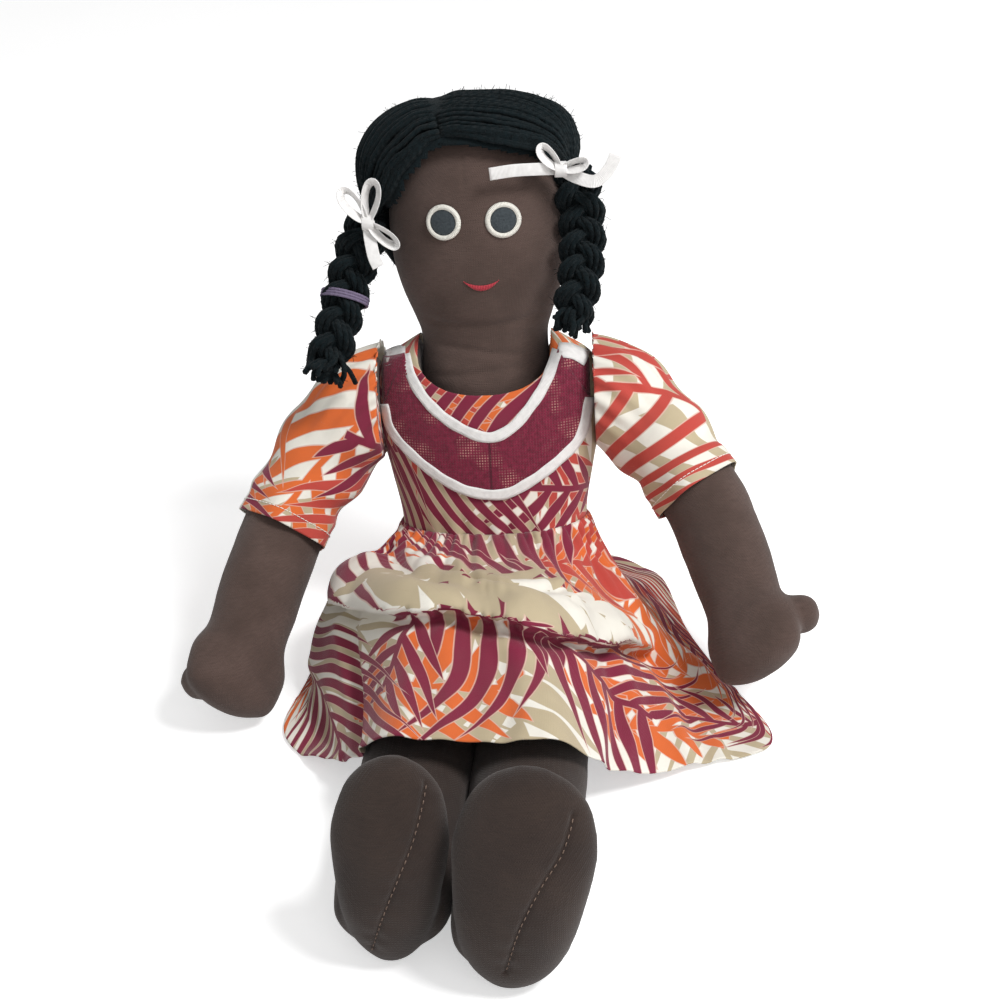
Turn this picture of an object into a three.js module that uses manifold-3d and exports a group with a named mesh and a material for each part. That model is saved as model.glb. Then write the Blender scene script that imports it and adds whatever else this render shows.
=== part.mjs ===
import * as THREE from 'three';
import { mergeVertices } from 'three/addons/utils/BufferGeometryUtils.js';
import Module from 'manifold-3d';

// A sewn rag doll that sits on the floor with its legs forward, in a cotton dress.
// Millimetres. +Z is up, the doll faces -Y, and its right hand is on the -X side.
// The origin is under the middle of the torso, on the flat seat.

const wasm = await Module();
wasm.setup();

// Clearances and cloth
const GAP = 0.3;
const CLOTH_THICK = 1.6;
const CLOTH_EASE = 0.5;
const NECK_EASE = 4.4;
const RIBBON_WIDE = 6.4;
const RIBBON_THICK = 0.9;
const OVERRUN = 60;
const FLOOR_CUT = 0.5;

// Torso: a stuffed bag that leans back
const RECLINE = THREE.MathUtils.degToRad(10);
const TORSO_LONG = 166;
const TORSO_HALF_WIDE = 57;
const TORSO_HALF_DEEP = 32;
const TORSO_SET_BACK = -13;
const SEAT_SLUMP = 17;
const SEAT_PRESS = 3;

// Head and neck, one stuffed piece
const NOD_DROP = 25;
const NOD_UP = TORSO_LONG - NOD_DROP;
const NECK_HALF_WIDE = 33;
const NECK_HALF_DEEP = 24.5;
const NECK_RADIUS = 26;
const NECK_BELOW = 27;
const HEAD_HALF_WIDE = 46;
const HEAD_HALF_DEEP = 36;
const HEAD_LONG = 106;
const NECK_LONG = 32;
const CHIN_UP = NOD_UP + NECK_LONG;

// Face
const EYE_ABOVE_CHIN = 58;
const EYE_UP = CHIN_UP + EYE_ABOVE_CHIN;
const EYE_APART = 30;
const EYE_RADIUS = 8.4;
const PUPIL_RADIUS = 6.1;
const MOUTH_ABOVE_CHIN = 26;
const MOUTH_UP = CHIN_UP + MOUTH_ABOVE_CHIN;
const MOUTH_WIDE = 17.5;
const MOUTH_DIP = 5.2;
const MOUTH_THICK = 2.8;
const PATCH_THICK = 0.9;

// Hair
const HAIR_THICK = 6.5;
const HAIR_HALF_WIDE = 58;
const HAIR_HALF_DEEP = 43;
const HAIR_ABOVE_HEAD = 5;
const HAIRLINE_ABOVE_CHIN = 91;
const HAIRLINE_UP = CHIN_UP + HAIRLINE_ABOVE_CHIN;
const TEMPLE_ABOVE_CHIN = 53;
const TEMPLE_UP = CHIN_UP + TEMPLE_ABOVE_CHIN;
const NAPE_BELOW_CHIN = 1;
const NAPE_UP = CHIN_UP - NAPE_BELOW_CHIN;
const PARTING_OFF = 13;
const PLAIT_RADIUS = 12;
const PLAIT_TURNS = 4;
const PLAIT_SWELL_DEEP = 0.9;
const BAND_TUBE = 1.5;

// Arms and hands
const SHOULDER_OUT = 56;
const SHOULDER_DROP = 36;
const SHOULDER_UP = TORSO_LONG - SHOULDER_DROP;
const ARM_HALF_WIDE = 22;
const ARM_HALF_DEEP = 18;
const HAND_OUT = 131;
const HAND_FORWARD = 100;
const HAND_UP = 24;
const THUMB_RADIUS = 9.5;
const THUMB_LONG = 33;

// Legs and feet
const HIP_FORWARD = 35;
const HIP_UP = 22;
const HIP_OUT = 27;
const HIP_FOLD_RADIUS = 5;
const LEG_HALF_WIDE = 20.5;
const LEG_HALF_DEEP = 21.5;
const HEEL_FORWARD = 272;
const FOOT_LONG = 97;
const FOOT_HALF_WIDE = 25;
const FOOT_HALF_DEEP = 15;
const FOOT_LEAN_BACK = 14;
const HIP_LOWERED = THREE.MathUtils.degToRad(100);
const HIP_RAISED = THREE.MathUtils.degToRad(10);

// Dress
const WAIST_UP = 62;
const NECKLINE_DROP = 30;
const NECKLINE_UP = TORSO_LONG - NECKLINE_DROP;
const NECKLINE_BACK_DROP = 28;
const NECKLINE_BACK_UP = TORSO_LONG - NECKLINE_BACK_DROP;
const NECKLINE_HALF = 34.4;
const YOKE_DROP = 81;
const YOKE_LOW = TORSO_LONG - YOKE_DROP;
const YOKE_INNER_DROP = 48;
const YOKE_INNER_LOW = TORSO_LONG - YOKE_INNER_DROP;
const YOKE_HALF = 54;
const YOKE_INNER_HALF = 38;
const YOKE_TOP_DROP = 10;
const YOKE_TOP = TORSO_LONG - YOKE_TOP_DROP;
const YOKE_THICK = 0.8;
const SLEEVE_HALF = 24.5;
const SLEEVE_PUFF_DEEP = 2.5;
const SKIRT_FOLDS = 14;
const FOLD_DEEP = 3.6;
const LAP_RISE = 5;
const SIDE_RISE = 1;
const ROLL_HIGH = 9;
const SIDE_FALL_POWER = 2.5;
const HEM_HALF = 130;
const HEM_FORWARD = 198;
const HEM_BACK = 66;
const HEM_OVER_LEG = 8;
const BUTTON_RADIUS = 4.5;
const BUTTON_THICK = 2;

// How finely the forms are drawn
const BODY_SIDES = 20;
const BODY_STEPS = 11;
const LIMB_SIDES = 14;
const LIMB_STEPS = 11;
const CURVE_STEPS = 7;
const SKIRT_ROUND_STEPS = 56;

const cotton = (name, colour) =>
  new THREE.MeshStandardMaterial({ name, color: colour, roughness: 0.9, metalness: 0 });
const skin = cotton('skin', 0x4a3a33);
const yarn = cotton('yarn', 0x14171a);
const print = cotton('print', 0xb4523c);
const mesh = cotton('mesh', 0x7a1c3a);
const ribbon = cotton('ribbon', 0xf2f0ee);
const white = cotton('white', 0xece9e2);
const grey = cotton('grey', 0x35393c);
const red = cotton('red', 0xb03240);
const purple = cotton('purple', 0x6a5f78);

const vec = (x, y, z) => new THREE.Vector3(x, y, z);

// A point in the torso's own frame: across, forward of its middle, and up along it
function lean(across, forward, up) {
  return vec(
    across,
    TORSO_SET_BACK + up * Math.sin(RECLINE) - forward * Math.cos(RECLINE),
    up * Math.cos(RECLINE) + forward * Math.sin(RECLINE),
  );
}

function smooth(rows, count) {
  const points = rows.map((row) => vec(row[0], row[1], row[2]));
  return new THREE.CatmullRomCurve3(points, false, 'centripetal').getPoints(count);
}

function shellOf(points, index) {
  const geometry = new THREE.BufferGeometry();
  const places = points.flatMap((p) => p.toArray());
  geometry.setAttribute('position', new THREE.Float32BufferAttribute(places, 3));
  geometry.setIndex(index);
  return geometry;
}

const middleOf = (ring) => ring.reduce((sum, p) => sum.add(p), vec(0, 0, 0)).divideScalar(ring.length);

// A closed solid over rings of points, each ring with as many points as the next
function skinOver(rings, startPole, endPole) {
  const sides = rings[0].length;
  const points = rings.flat();
  const index = [];
  for (let r = 0; r + 1 < rings.length; r += 1) {
    for (let s = 0; s < sides; s += 1) {
      const a = r * sides + s;
      const b = r * sides + ((s + 1) % sides);
      index.push(a, b, a + sides, b, b + sides, a + sides);
    }
  }
  const first = points.push(startPole) - 1;
  const last = points.push(endPole) - 1;
  const top = (rings.length - 1) * sides;
  for (let s = 0; s < sides; s += 1) {
    const next = (s + 1) % sides;
    index.push(first, next, s);
    index.push(last, top + s, top + next);
  }
  return shellOf(points, index);
}

// A stuffed form: oval rings along a spine, from a table of shares
// [along, width, depth], and grown outwards where it serves as a cutter
function stuffed({ spine, across, shares, wide, deep, steps, sides }, grow = 0) {
  const rings = [];
  const rows = smooth(shares, steps);
  rows.forEach((row, n) => {
    const along = THREE.MathUtils.clamp(row.x, 0, 1);
    const centre = spine.getPointAt(along);
    const way = spine.getTangentAt(along);
    const out = across.clone().addScaledVector(way, -across.dot(way)).normalize();
    const up = way.clone().cross(out);
    const endGrow = n === 0 ? -grow : n === rows.length - 1 ? grow : 0;
    const ring = [];
    for (let s = 0; s < sides; s += 1) {
      const turn = (s / sides) * Math.PI * 2;
      ring.push(centre.clone()
        .addScaledVector(way, endGrow)
        .addScaledVector(out, (row.y * wide + grow) * Math.cos(turn))
        .addScaledVector(up, (row.z * deep + grow) * Math.sin(turn)));
    }
    rings.push(ring);
  });
  return solid(skinOver(rings, middleOf(rings[0]), middleOf(rings.at(-1))));
}

function solid(geometry) {
  const bare = geometry.clone();
  bare.deleteAttribute('normal');
  bare.deleteAttribute('uv');
  const merged = mergeVertices(bare);
  return new wasm.Manifold(new wasm.Mesh({
    numProp: 3,
    vertProperties: new Float32Array(merged.attributes.position.array),
    triVerts: new Uint32Array(merged.index.array),
  }));
}

function drawn(manifold) {
  const result = manifold.getMesh();
  const geometry = new THREE.BufferGeometry();
  geometry.setAttribute('position', new THREE.BufferAttribute(new Float32Array(result.vertProperties), 3));
  geometry.setIndex(new THREE.BufferAttribute(new Uint32Array(result.triVerts), 1));
  return geometry;
}

const allOf = (first, ...rest) => rest.reduce((sum, next) => sum.add(next), first);

// The part of space between two corners
function block(low, high) {
  const size = high.clone().sub(low);
  const middle = low.clone().add(high).multiplyScalar(0.5);
  const box = new THREE.BoxGeometry(size.x, size.y, size.z);
  box.translate(middle.x, middle.y, middle.z);
  return solid(box);
}

// An outline drawn as the doll is seen from the front, run through the doll's front or back half
function through(outline, forwardFrom, forwardTo) {
  const geometry = new THREE.ExtrudeGeometry(outline, {
    depth: forwardTo - forwardFrom, bevelEnabled: false, curveSegments: CURVE_STEPS,
  });
  const facing = new THREE.Matrix4().makeBasis(
    vec(1, 0, 0),
    vec(0, Math.sin(RECLINE), Math.cos(RECLINE)),
    vec(0, -Math.cos(RECLINE), Math.sin(RECLINE)),
  );
  facing.setPosition(lean(0, forwardFrom, 0));
  geometry.applyMatrix4(facing);
  return solid(geometry);
}

function outlineOf(points) {
  const outline = new THREE.Shape();
  outline.moveTo(points[0][0], points[0][1]);
  points.slice(1).forEach((p) => outline.lineTo(p[0], p[1]));
  return outline;
}

const FAR = TORSO_LONG + HEAD_LONG + OVERRUN;
const aboveFloor = block(vec(-FAR, -FAR, 0), vec(FAR, FAR, FAR));

// Torso
const torsoShares = [
  [0, 0.62, 0.72], [0.07, 0.84, 0.9], [0.22, 0.95, 1], [0.38, 0.82, 0.97], [0.56, 0.9, 0.97],
  [0.72, 1, 0.9], [0.83, 1.02, 0.82], [0.9, 0.93, 0.76], [0.955, 0.7, 0.68], [1, 0.46, 0.56],
];
const torsoSpine = new THREE.CatmullRomCurve3([
  vec(0, TORSO_SET_BACK + SEAT_SLUMP, -SEAT_PRESS),
  lean(0, -SEAT_SLUMP / 3, TORSO_LONG * 0.12),
  lean(0, 0, TORSO_LONG * 0.27),
  lean(0, 0, TORSO_LONG * 0.6),
  lean(0, 0, TORSO_LONG),
]);
const torsoForm = (grow) => stuffed({
  spine: torsoSpine,
  across: vec(1, 0, 0),
  shares: torsoShares,
  wide: TORSO_HALF_WIDE,
  deep: TORSO_HALF_DEEP,
  steps: BODY_STEPS,
  sides: BODY_SIDES,
}, grow);

// Head: the neck runs down to a round that nods in a saddle in the torso
const headLow = NOD_UP - NECK_BELOW;
const headSpan = NECK_BELOW + NECK_LONG + HEAD_LONG;
const neckWideShare = NECK_HALF_WIDE / HEAD_HALF_WIDE;
const neckDeepShare = NECK_HALF_DEEP / HEAD_HALF_DEEP;
const onHead = (share) => (NECK_BELOW + NECK_LONG + share * HEAD_LONG) / headSpan;
const headShares = [
  [0, neckWideShare, neckDeepShare],
  [NECK_BELOW / headSpan, neckWideShare * 1.02, neckDeepShare],
  [(NECK_BELOW + NECK_LONG * 0.7) / headSpan, neckWideShare, neckDeepShare * 1.02],
  [onHead(0), neckWideShare * 1.08, neckDeepShare * 1.14],
  [onHead(0.16), 0.9, 0.9], [onHead(0.32), 0.985, 0.98], [onHead(0.48), 1, 1],
  [onHead(0.63), 0.975, 0.975], [onHead(0.77), 0.885, 0.895], [onHead(0.87), 0.745, 0.765],
  [onHead(0.94), 0.56, 0.58], [onHead(0.98), 0.36, 0.38], [1, 0.14, 0.15],
];
const headSpine = new THREE.LineCurve3(lean(0, 0, headLow), lean(0, 0, headLow + headSpan));
const headForm = (grow) => stuffed({
  spine: headSpine,
  across: vec(1, 0, 0),
  shares: headShares,
  wide: HEAD_HALF_WIDE,
  deep: HEAD_HALF_DEEP,
  steps: BODY_STEPS + 3,
  sides: BODY_SIDES,
}, grow);

const nodAt = lean(0, 0, NOD_UP);
function neckRound(grow) {
  const long = 2 * (NECK_HALF_WIDE + OVERRUN);
  const round = new THREE.CylinderGeometry(NECK_RADIUS + grow, NECK_RADIUS + grow, long, 32);
  round.rotateZ(Math.PI / 2);
  round.translate(nodAt.x, nodAt.y, nodAt.z);
  return solid(round);
}
const belowNod = through(outlineOf([
  [-OVERRUN, headLow - OVERRUN], [OVERRUN, headLow - OVERRUN], [OVERRUN, NOD_UP], [-OVERRUN, NOD_UP],
]), -OVERRUN, OVERRUN);
const head = headForm(0).subtract(belowNod.subtract(neckRound(0)));

const neckSlotHalf = NECK_HALF_WIDE * 1.02 + GAP;
const neckSlot = through(outlineOf([
  [-neckSlotHalf, headLow - OVERRUN], [neckSlotHalf, headLow - OVERRUN],
  [neckSlotHalf, NOD_UP + OVERRUN], [-neckSlotHalf, NOD_UP + OVERRUN],
]), -OVERRUN, OVERRUN);
const saddle = neckSlot.subtract(belowNod.subtract(neckRound(GAP)));

// Legs: thin at the hip seam so that they fold there
const hipAt = vec(0, -HIP_FORWARD, HIP_UP);
const foldShare = HIP_FOLD_RADIUS / LEG_HALF_DEEP;
const legShares = [
  [0, 0.7, foldShare * 0.25], [0.01, 0.76, foldShare * 0.8], [0.024, 0.8, foldShare],
  [0.1, 0.9, 0.56], [0.2, 0.98, 0.86], [0.35, 1, 1], [0.62, 1, 1], [0.82, 0.98, 0.98],
  [0.95, 0.95, 0.93], [1, 0.7, 0.66],
];
const footShares = [
  [0, 0.16, 0.3], [0.05, 0.4, 0.62], [0.2, 0.72, 0.98], [0.42, 0.9, 1.04], [0.66, 1, 1],
  [0.84, 0.86, 0.84], [0.94, 0.6, 0.6], [1, 0.2, 0.2],
];
// The feet turn and reach differently: the left is further forward and flatter
const footPlaces = {
  right: {
    hip: -HIP_OUT, ankleShare: -1.14, heelShare: -1.2, toeShare: -0.94,
    longShare: 0.92, wideShare: 0.97, reachShare: 1.04,
  },
  left: {
    hip: HIP_OUT, ankleShare: 0.74, heelShare: 0.66, toeShare: 1.2,
    longShare: 0.97, wideShare: 1.16, reachShare: 1.1,
  },
};
function legForm(side, grow) {
  const { hip, ankleShare, heelShare, toeShare, longShare, wideShare, reachShare } = footPlaces[side];
  const heelForward = HEEL_FORWARD * reachShare;
  const legUp = LEG_HALF_DEEP - FLOOR_CUT;
  const ankleForward = heelForward - FOOT_HALF_DEEP * 0.5;
  const tube = stuffed({
    spine: new THREE.CatmullRomCurve3([
      vec(hip, -HIP_FORWARD + HIP_FOLD_RADIUS, HIP_UP),
      vec(hip, -HIP_FORWARD - LEG_HALF_DEEP, HIP_UP),
      vec(hip * 0.6 + HIP_OUT * ankleShare * 0.4, -ankleForward * 0.5, legUp),
      vec(HIP_OUT * ankleShare, -ankleForward, legUp),
    ]),
    across: vec(1, 0, 0),
    shares: legShares,
    wide: LEG_HALF_WIDE,
    deep: LEG_HALF_DEEP,
    steps: LIMB_STEPS,
    sides: LIMB_SIDES,
  }, grow);
  const heelUp = FOOT_HALF_DEEP * 0.1;
  const foot = stuffed({
    spine: new THREE.CatmullRomCurve3([
      vec(HIP_OUT * heelShare, -heelForward + FOOT_HALF_DEEP, -heelUp),
      vec(
        HIP_OUT * (heelShare * 0.6 + toeShare * 0.4),
        -heelForward + FOOT_HALF_DEEP * 0.7,
        FOOT_LONG * 0.4,
      ),
      vec(HIP_OUT * toeShare, -heelForward + FOOT_HALF_DEEP + FOOT_LEAN_BACK, FOOT_LONG * longShare),
    ]),
    across: vec(1, 0, 0),
    shares: footShares,
    wide: FOOT_HALF_WIDE * wideShare,
    deep: FOOT_HALF_DEEP,
    steps: LIMB_STEPS - 1,
    sides: LIMB_SIDES,
  }, grow);
  return allOf(tube, foot).intersect(aboveFloor);
}

// The space that a leg needs at the hip, seen from the side, from raised to lowered
function hipSweep() {
  const outline = new THREE.Shape();
  const halfThick = (far) => HIP_FOLD_RADIUS + GAP + Math.min(far * 0.5, LEG_HALF_DEEP - HIP_FOLD_RADIUS);
  const edge = (turn, far, way) => [
    -Math.cos(turn) * far + way * Math.sin(turn) * halfThick(far),
    -Math.sin(turn) * far - way * Math.cos(turn) * halfThick(far),
  ];
  const reach = TORSO_HALF_DEEP + LEG_HALF_DEEP;
  const farShares = [1, 0.6, 0.3, 0.12];
  const above = farShares.map((share) => edge(-HIP_RAISED, reach * share, -1));
  const behind = farShares.toReversed().map((share) => edge(HIP_LOWERED, reach * share, 1));
  outline.moveTo(above[0][0], above[0][1]);
  above.slice(1).forEach((p) => outline.lineTo(p[0], p[1]));
  outline.absarc(0, 0, HIP_FOLD_RADIUS + GAP, Math.PI / 2 - HIP_RAISED, HIP_LOWERED - Math.PI / 2, true);
  behind.forEach((p) => outline.lineTo(p[0], p[1]));
  outline.lineTo(-reach, -reach);
  const geometry = new THREE.ExtrudeGeometry(outline, {
    depth: 2 * (TORSO_HALF_WIDE + OVERRUN), bevelEnabled: false, curveSegments: 6,
  });
  geometry.translate(0, 0, -TORSO_HALF_WIDE - OVERRUN);
  geometry.applyMatrix4(new THREE.Matrix4().makeBasis(vec(0, 1, 0), vec(0, 0, 1), vec(1, 0, 0)));
  geometry.translate(hipAt.x, hipAt.y, hipAt.z);
  return solid(geometry);
}

const betweenShoulders = block(vec(-SHOULDER_OUT + GAP, -FAR, -FAR), vec(SHOULDER_OUT - GAP, FAR, FAR));
const torso = torsoForm(0)
  .intersect(aboveFloor)
  .intersect(betweenShoulders)
  .subtract(saddle)
  .subtract(hipSweep());

const legRight = legForm('right', 0);
const legLeft = legForm('left', 0);

// Arms: from the shoulder seam out, forward and down to a mitten hand with a thumb
const sideWay = { right: -1, left: 1 };
const shoulderAt = (side) => {
  const at = lean(0, 0, SHOULDER_UP);
  return vec(sideWay[side] * SHOULDER_OUT, at.y, at.z);
};
// Where each hand rests, as shares of the common reach outward, forward and upward
const handShares = {
  right: { outShare: 1, forwardShare: 1.19, upShare: 0.8 },
  left: { outShare: 1.03, forwardShare: 1.14, upShare: 1.26 },
};
const armPoint = (side, outShare, forwardShare, downShare) => {
  const root = shoulderAt(side);
  const hand = handShares[side];
  return vec(
    sideWay[side] * (SHOULDER_OUT + (HAND_OUT * hand.outShare - SHOULDER_OUT) * outShare),
    root.y - (HAND_FORWARD * hand.forwardShare + root.y) * forwardShare,
    root.z - (root.z - HAND_UP * hand.upShare) * downShare,
  );
};
const armSpine = (side) => new THREE.CatmullRomCurve3([
  armPoint(side, -0.22, -0.02, -0.07), armPoint(side, 0.08, 0.02, 0), armPoint(side, 0.38, 0.1, 0.2),
  armPoint(side, 0.66, 0.26, 0.45), armPoint(side, 0.86, 0.56, 0.74), armPoint(side, 1, 1, 1),
]);
const armShares = [
  [0, 0.8, 0.84], [0.16, 0.9, 1], [0.3, 0.96, 1.02], [0.52, 1, 1.02], [0.7, 1, 0.96],
  [0.8, 0.96, 0.86], [0.88, 1.2, 0.8], [0.95, 1.12, 0.7], [0.985, 0.78, 0.5], [1, 0.34, 0.22],
];
const outside = (side) => (side === 'right'
  ? block(vec(-FAR, -FAR, -FAR), vec(-SHOULDER_OUT, FAR, FAR))
  : block(vec(SHOULDER_OUT, -FAR, -FAR), vec(FAR, FAR, FAR)));
const armAcross = (side) => vec(sideWay[side], 0, 1);
const thumbWays = { right: [0.74, -0.62, -0.26], left: [0.96, -0.2, 0.2] };
function armForm(side, grow) {
  const spine = armSpine(side);
  const arm = stuffed({
    spine,
    across: armAcross(side),
    shares: armShares,
    wide: ARM_HALF_WIDE,
    deep: ARM_HALF_DEEP,
    steps: LIMB_STEPS + 1,
    sides: LIMB_SIDES,
  }, grow);
  const palm = spine.getPointAt(0.84);
  const [outward, forward, upward] = thumbWays[side];
  const way = vec(sideWay[side] * outward, forward, upward).normalize();
  const thumb = stuffed({
    spine: new THREE.LineCurve3(
      palm.clone().addScaledVector(way, THUMB_RADIUS / 2),
      palm.clone().addScaledVector(way, ARM_HALF_WIDE * 0.62 + THUMB_LONG * 0.66),
    ),
    across: vec(0, 1, 1),
    shares: [[0, 0.9, 0.9], [0.4, 1, 1], [0.75, 1, 1], [0.93, 0.7, 0.7], [1, 0.25, 0.25]],
    wide: THUMB_RADIUS,
    deep: THUMB_RADIUS,
    steps: 5,
    sides: 10,
  }, grow);
  return allOf(arm, thumb).intersect(outside(side));
}

// Sleeves: short puffed tubes round the arms, turning with them
const sleeveEndShares = { right: 0.51, left: 0.47 };
function sleeve(side) {
  const whole = armSpine(side);
  const spine = new THREE.CatmullRomCurve3(
    [0, 0.25, 0.5, 0.75, 1].map((share) => whole.getPointAt(share * sleeveEndShares[side])),
  );
  const tube = (shares, wide, deep, grow) => stuffed({
    spine,
    across: armAcross(side),
    shares,
    wide,
    deep,
    steps: 8,
    sides: LIMB_SIDES + 2,
  }, grow);
  const puffShare = SLEEVE_PUFF_DEEP / SLEEVE_HALF;
  const shares = [
    [0, 0.96, 0.96], [0.3, 1 + puffShare, 1 + puffShare], [0.6, 1 + puffShare * 0.6, 1],
    [0.85, 0.98, 0.95], [1, 1, 0.97],
  ];
  const wide = SLEEVE_HALF;
  const deep = SLEEVE_HALF * 0.94;
  return tube(shares, wide, deep, 0)
    .subtract(tube(shares, wide - CLOTH_THICK, deep - CLOTH_THICK, GAP / 10))
    .intersect(outside(side));
}

// Bodice: front and back panels that follow the torso
const clothOver = (form, inner, outer) => form(outer).subtract(form(inner));
const bodiceOut = CLOTH_EASE + CLOTH_THICK;
const neckOpening = (low, from, to) => {
  const outline = new THREE.Shape();
  outline.moveTo(-NECKLINE_HALF, TORSO_LONG + OVERRUN);
  outline.lineTo(-NECKLINE_HALF, low + NECKLINE_HALF * 0.62);
  outline.bezierCurveTo(
    -NECKLINE_HALF, low + NECKLINE_HALF * 0.2, -NECKLINE_HALF * 0.6, low, 0, low,
  );
  outline.bezierCurveTo(
    NECKLINE_HALF * 0.6, low, NECKLINE_HALF, low + NECKLINE_HALF * 0.2,
    NECKLINE_HALF, low + NECKLINE_HALF * 0.62,
  );
  outline.lineTo(NECKLINE_HALF, TORSO_LONG + OVERRUN);
  return through(outline, from, to);
};
const aboveWaist = through(outlineOf([
  [-FAR, WAIST_UP], [FAR, WAIST_UP], [FAR, FAR], [-FAR, FAR],
]), -FAR, FAR);
const everywhere = outlineOf([[-FAR, -FAR], [FAR, -FAR], [FAR, FAR], [-FAR, FAR]]);
const frontHalf = through(everywhere, GAP / 2, FAR);
const backHalf = through(everywhere, -FAR, -GAP / 2);
const bodice = clothOver(torsoForm, CLOTH_EASE, bodiceOut)
  .intersect(aboveWaist)
  .intersect(betweenShoulders)
  .subtract(neckOpening(NECKLINE_UP, 0, FAR))
  .subtract(neckOpening(NECKLINE_BACK_UP, -FAR, GAP))
  .subtract(headForm(NECK_EASE));
const bodiceFront = bodice.intersect(frontHalf);
const bodiceBack = bodice.intersect(backHalf);

// Yoke: an open mesh band in a deep V over the front, edged with two ribbons
function vBand(outerHalf, outerLow, innerHalf, innerLow) {
  const outline = new THREE.Shape();
  outline.moveTo(-outerHalf, YOKE_TOP + OVERRUN);
  outline.lineTo(-outerHalf, YOKE_TOP - (YOKE_TOP - outerLow) * 0.45);
  outline.quadraticCurveTo(-outerHalf * 0.86, outerLow + (YOKE_TOP - outerLow) * 0.22, 0, outerLow);
  outline.quadraticCurveTo(outerHalf * 0.86, outerLow + (YOKE_TOP - outerLow) * 0.22,
    outerHalf, YOKE_TOP - (YOKE_TOP - outerLow) * 0.45);
  outline.lineTo(outerHalf, YOKE_TOP + OVERRUN);
  outline.lineTo(innerHalf, YOKE_TOP + OVERRUN);
  outline.lineTo(innerHalf, YOKE_TOP);
  outline.quadraticCurveTo(innerHalf * 0.74, innerLow + (YOKE_TOP - innerLow) * 0.3, 0, innerLow);
  outline.quadraticCurveTo(-innerHalf * 0.74, innerLow + (YOKE_TOP - innerLow) * 0.3, -innerHalf, YOKE_TOP);
  outline.lineTo(-innerHalf, YOKE_TOP + OVERRUN);
  return outline;
}
const yokeIn = bodiceOut + GAP;
const trimIn = yokeIn + YOKE_THICK + GAP;
const belowYokeTop = through(outlineOf([[-FAR, 0], [FAR, 0], [FAR, YOKE_TOP], [-FAR, YOKE_TOP]]), 0, FAR);
const onChest = (outline, inner, thick) => clothOver(torsoForm, inner, inner + thick)
  .intersect(through(outline, GAP / 2, FAR))
  .intersect(belowYokeTop)
  .intersect(betweenShoulders);
const halfRibbon = RIBBON_WIDE / 2;
const yoke = onChest(vBand(YOKE_HALF, YOKE_LOW, YOKE_INNER_HALF, YOKE_INNER_LOW), yokeIn, YOKE_THICK);
const yokeTrimInner = onChest(vBand(
  YOKE_INNER_HALF + halfRibbon, YOKE_INNER_LOW - halfRibbon,
  YOKE_INNER_HALF - halfRibbon, YOKE_INNER_LOW + halfRibbon,
), trimIn, RIBBON_THICK);
const yokeTrimOuter = onChest(vBand(
  YOKE_HALF + halfRibbon, YOKE_LOW - halfRibbon,
  YOKE_HALF - halfRibbon, YOKE_LOW + halfRibbon,
), trimIn, RIBBON_THICK);

// Back fastening: one flat button at the top of the back opening
const buttonUp = NECKLINE_BACK_UP - BUTTON_RADIUS * 1.5;
const buttonOutline = new THREE.Shape();
buttonOutline.absarc(0, buttonUp, BUTTON_RADIUS, 0, Math.PI * 2, false);
const backButton = clothOver(torsoForm, bodiceOut + GAP, bodiceOut + GAP + BUTTON_THICK)
  .intersect(through(buttonOutline, -FAR, 0));

// Skirt: gathered at the waist, over the lap in front and down to the floor around the rest.
// Hem places go round from the back middle by the doll's right, as shares of
// [half width, forward reach or back reach, leg height].
const hemShares = [
  [0, 1, 0], [-0.32, 0.94, 0], [-0.56, 0.7, 0], [-0.68, 0.2, 0], [-0.73, -0.13, 0], [-0.77, -0.36, 0],
  [-0.79, -0.58, 0], [-0.53, -0.8, 0.3], [-0.29, -0.98, 1.06], [0, -1, 1.06], [0.27, -1, 1.06],
  [0.49, -0.88, 0.4], [0.76, -0.76, 0.03], [1.03, -0.65, 0], [0.88, -0.36, 0], [0.77, -0.14, 0],
  [0.7, 0.26, 0], [0.54, 0.74, 0], [0.3, 0.94, 0],
];
const hemHigh = LEG_HALF_DEEP * 2 + HEM_OVER_LEG;
const hemCurve = new THREE.CatmullRomCurve3(hemShares.map(([across, along, up]) => vec(
  across * HEM_HALF, along > 0 ? along * HEM_BACK : along * HEM_FORWARD, up * hemHigh,
)), true, 'centripetal');
const waistWide = TORSO_HALF_WIDE * 0.87 + bodiceOut;
const waistDeep = TORSO_HALF_DEEP * 0.99 + bodiceOut;
const skirtTop = WAIST_UP - GAP;
// How far down the skirt its rows lie, closest where the cloth rolls over on the lap
const skirtDownShares = [0, 0.12, 0.25, 0.35, 0.43, 0.5, 0.57, 0.72, 0.87, 1];
const rollShare = (down) => THREE.MathUtils.smoothstep(down, 0.08, 0.42)
  * (1 - THREE.MathUtils.smoothstep(down, 0.44, 0.58));
function skirtBase(round, down) {
  const hem = hemCurve.getPoint(round);
  const turn = round * Math.PI * 2;
  const waist = lean(-Math.sin(turn) * waistWide, -Math.cos(turn) * waistDeep, skirtTop);
  const front = THREE.MathUtils.smoothstep(-Math.cos(turn), 0.45, 0.95);
  const rise = (SIDE_RISE + (LAP_RISE - SIDE_RISE) * front) * Math.sin(Math.PI * Math.pow(down, 0.85))
    + ROLL_HIGH * front * rollShare(down);
  const fall = THREE.MathUtils.lerp(1 - Math.pow(1 - down, SIDE_FALL_POWER), down, front);
  const point = waist.clone().lerp(hem, down);
  point.z = waist.z + (hem.z - waist.z) * fall + rise;
  return point;
}
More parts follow.
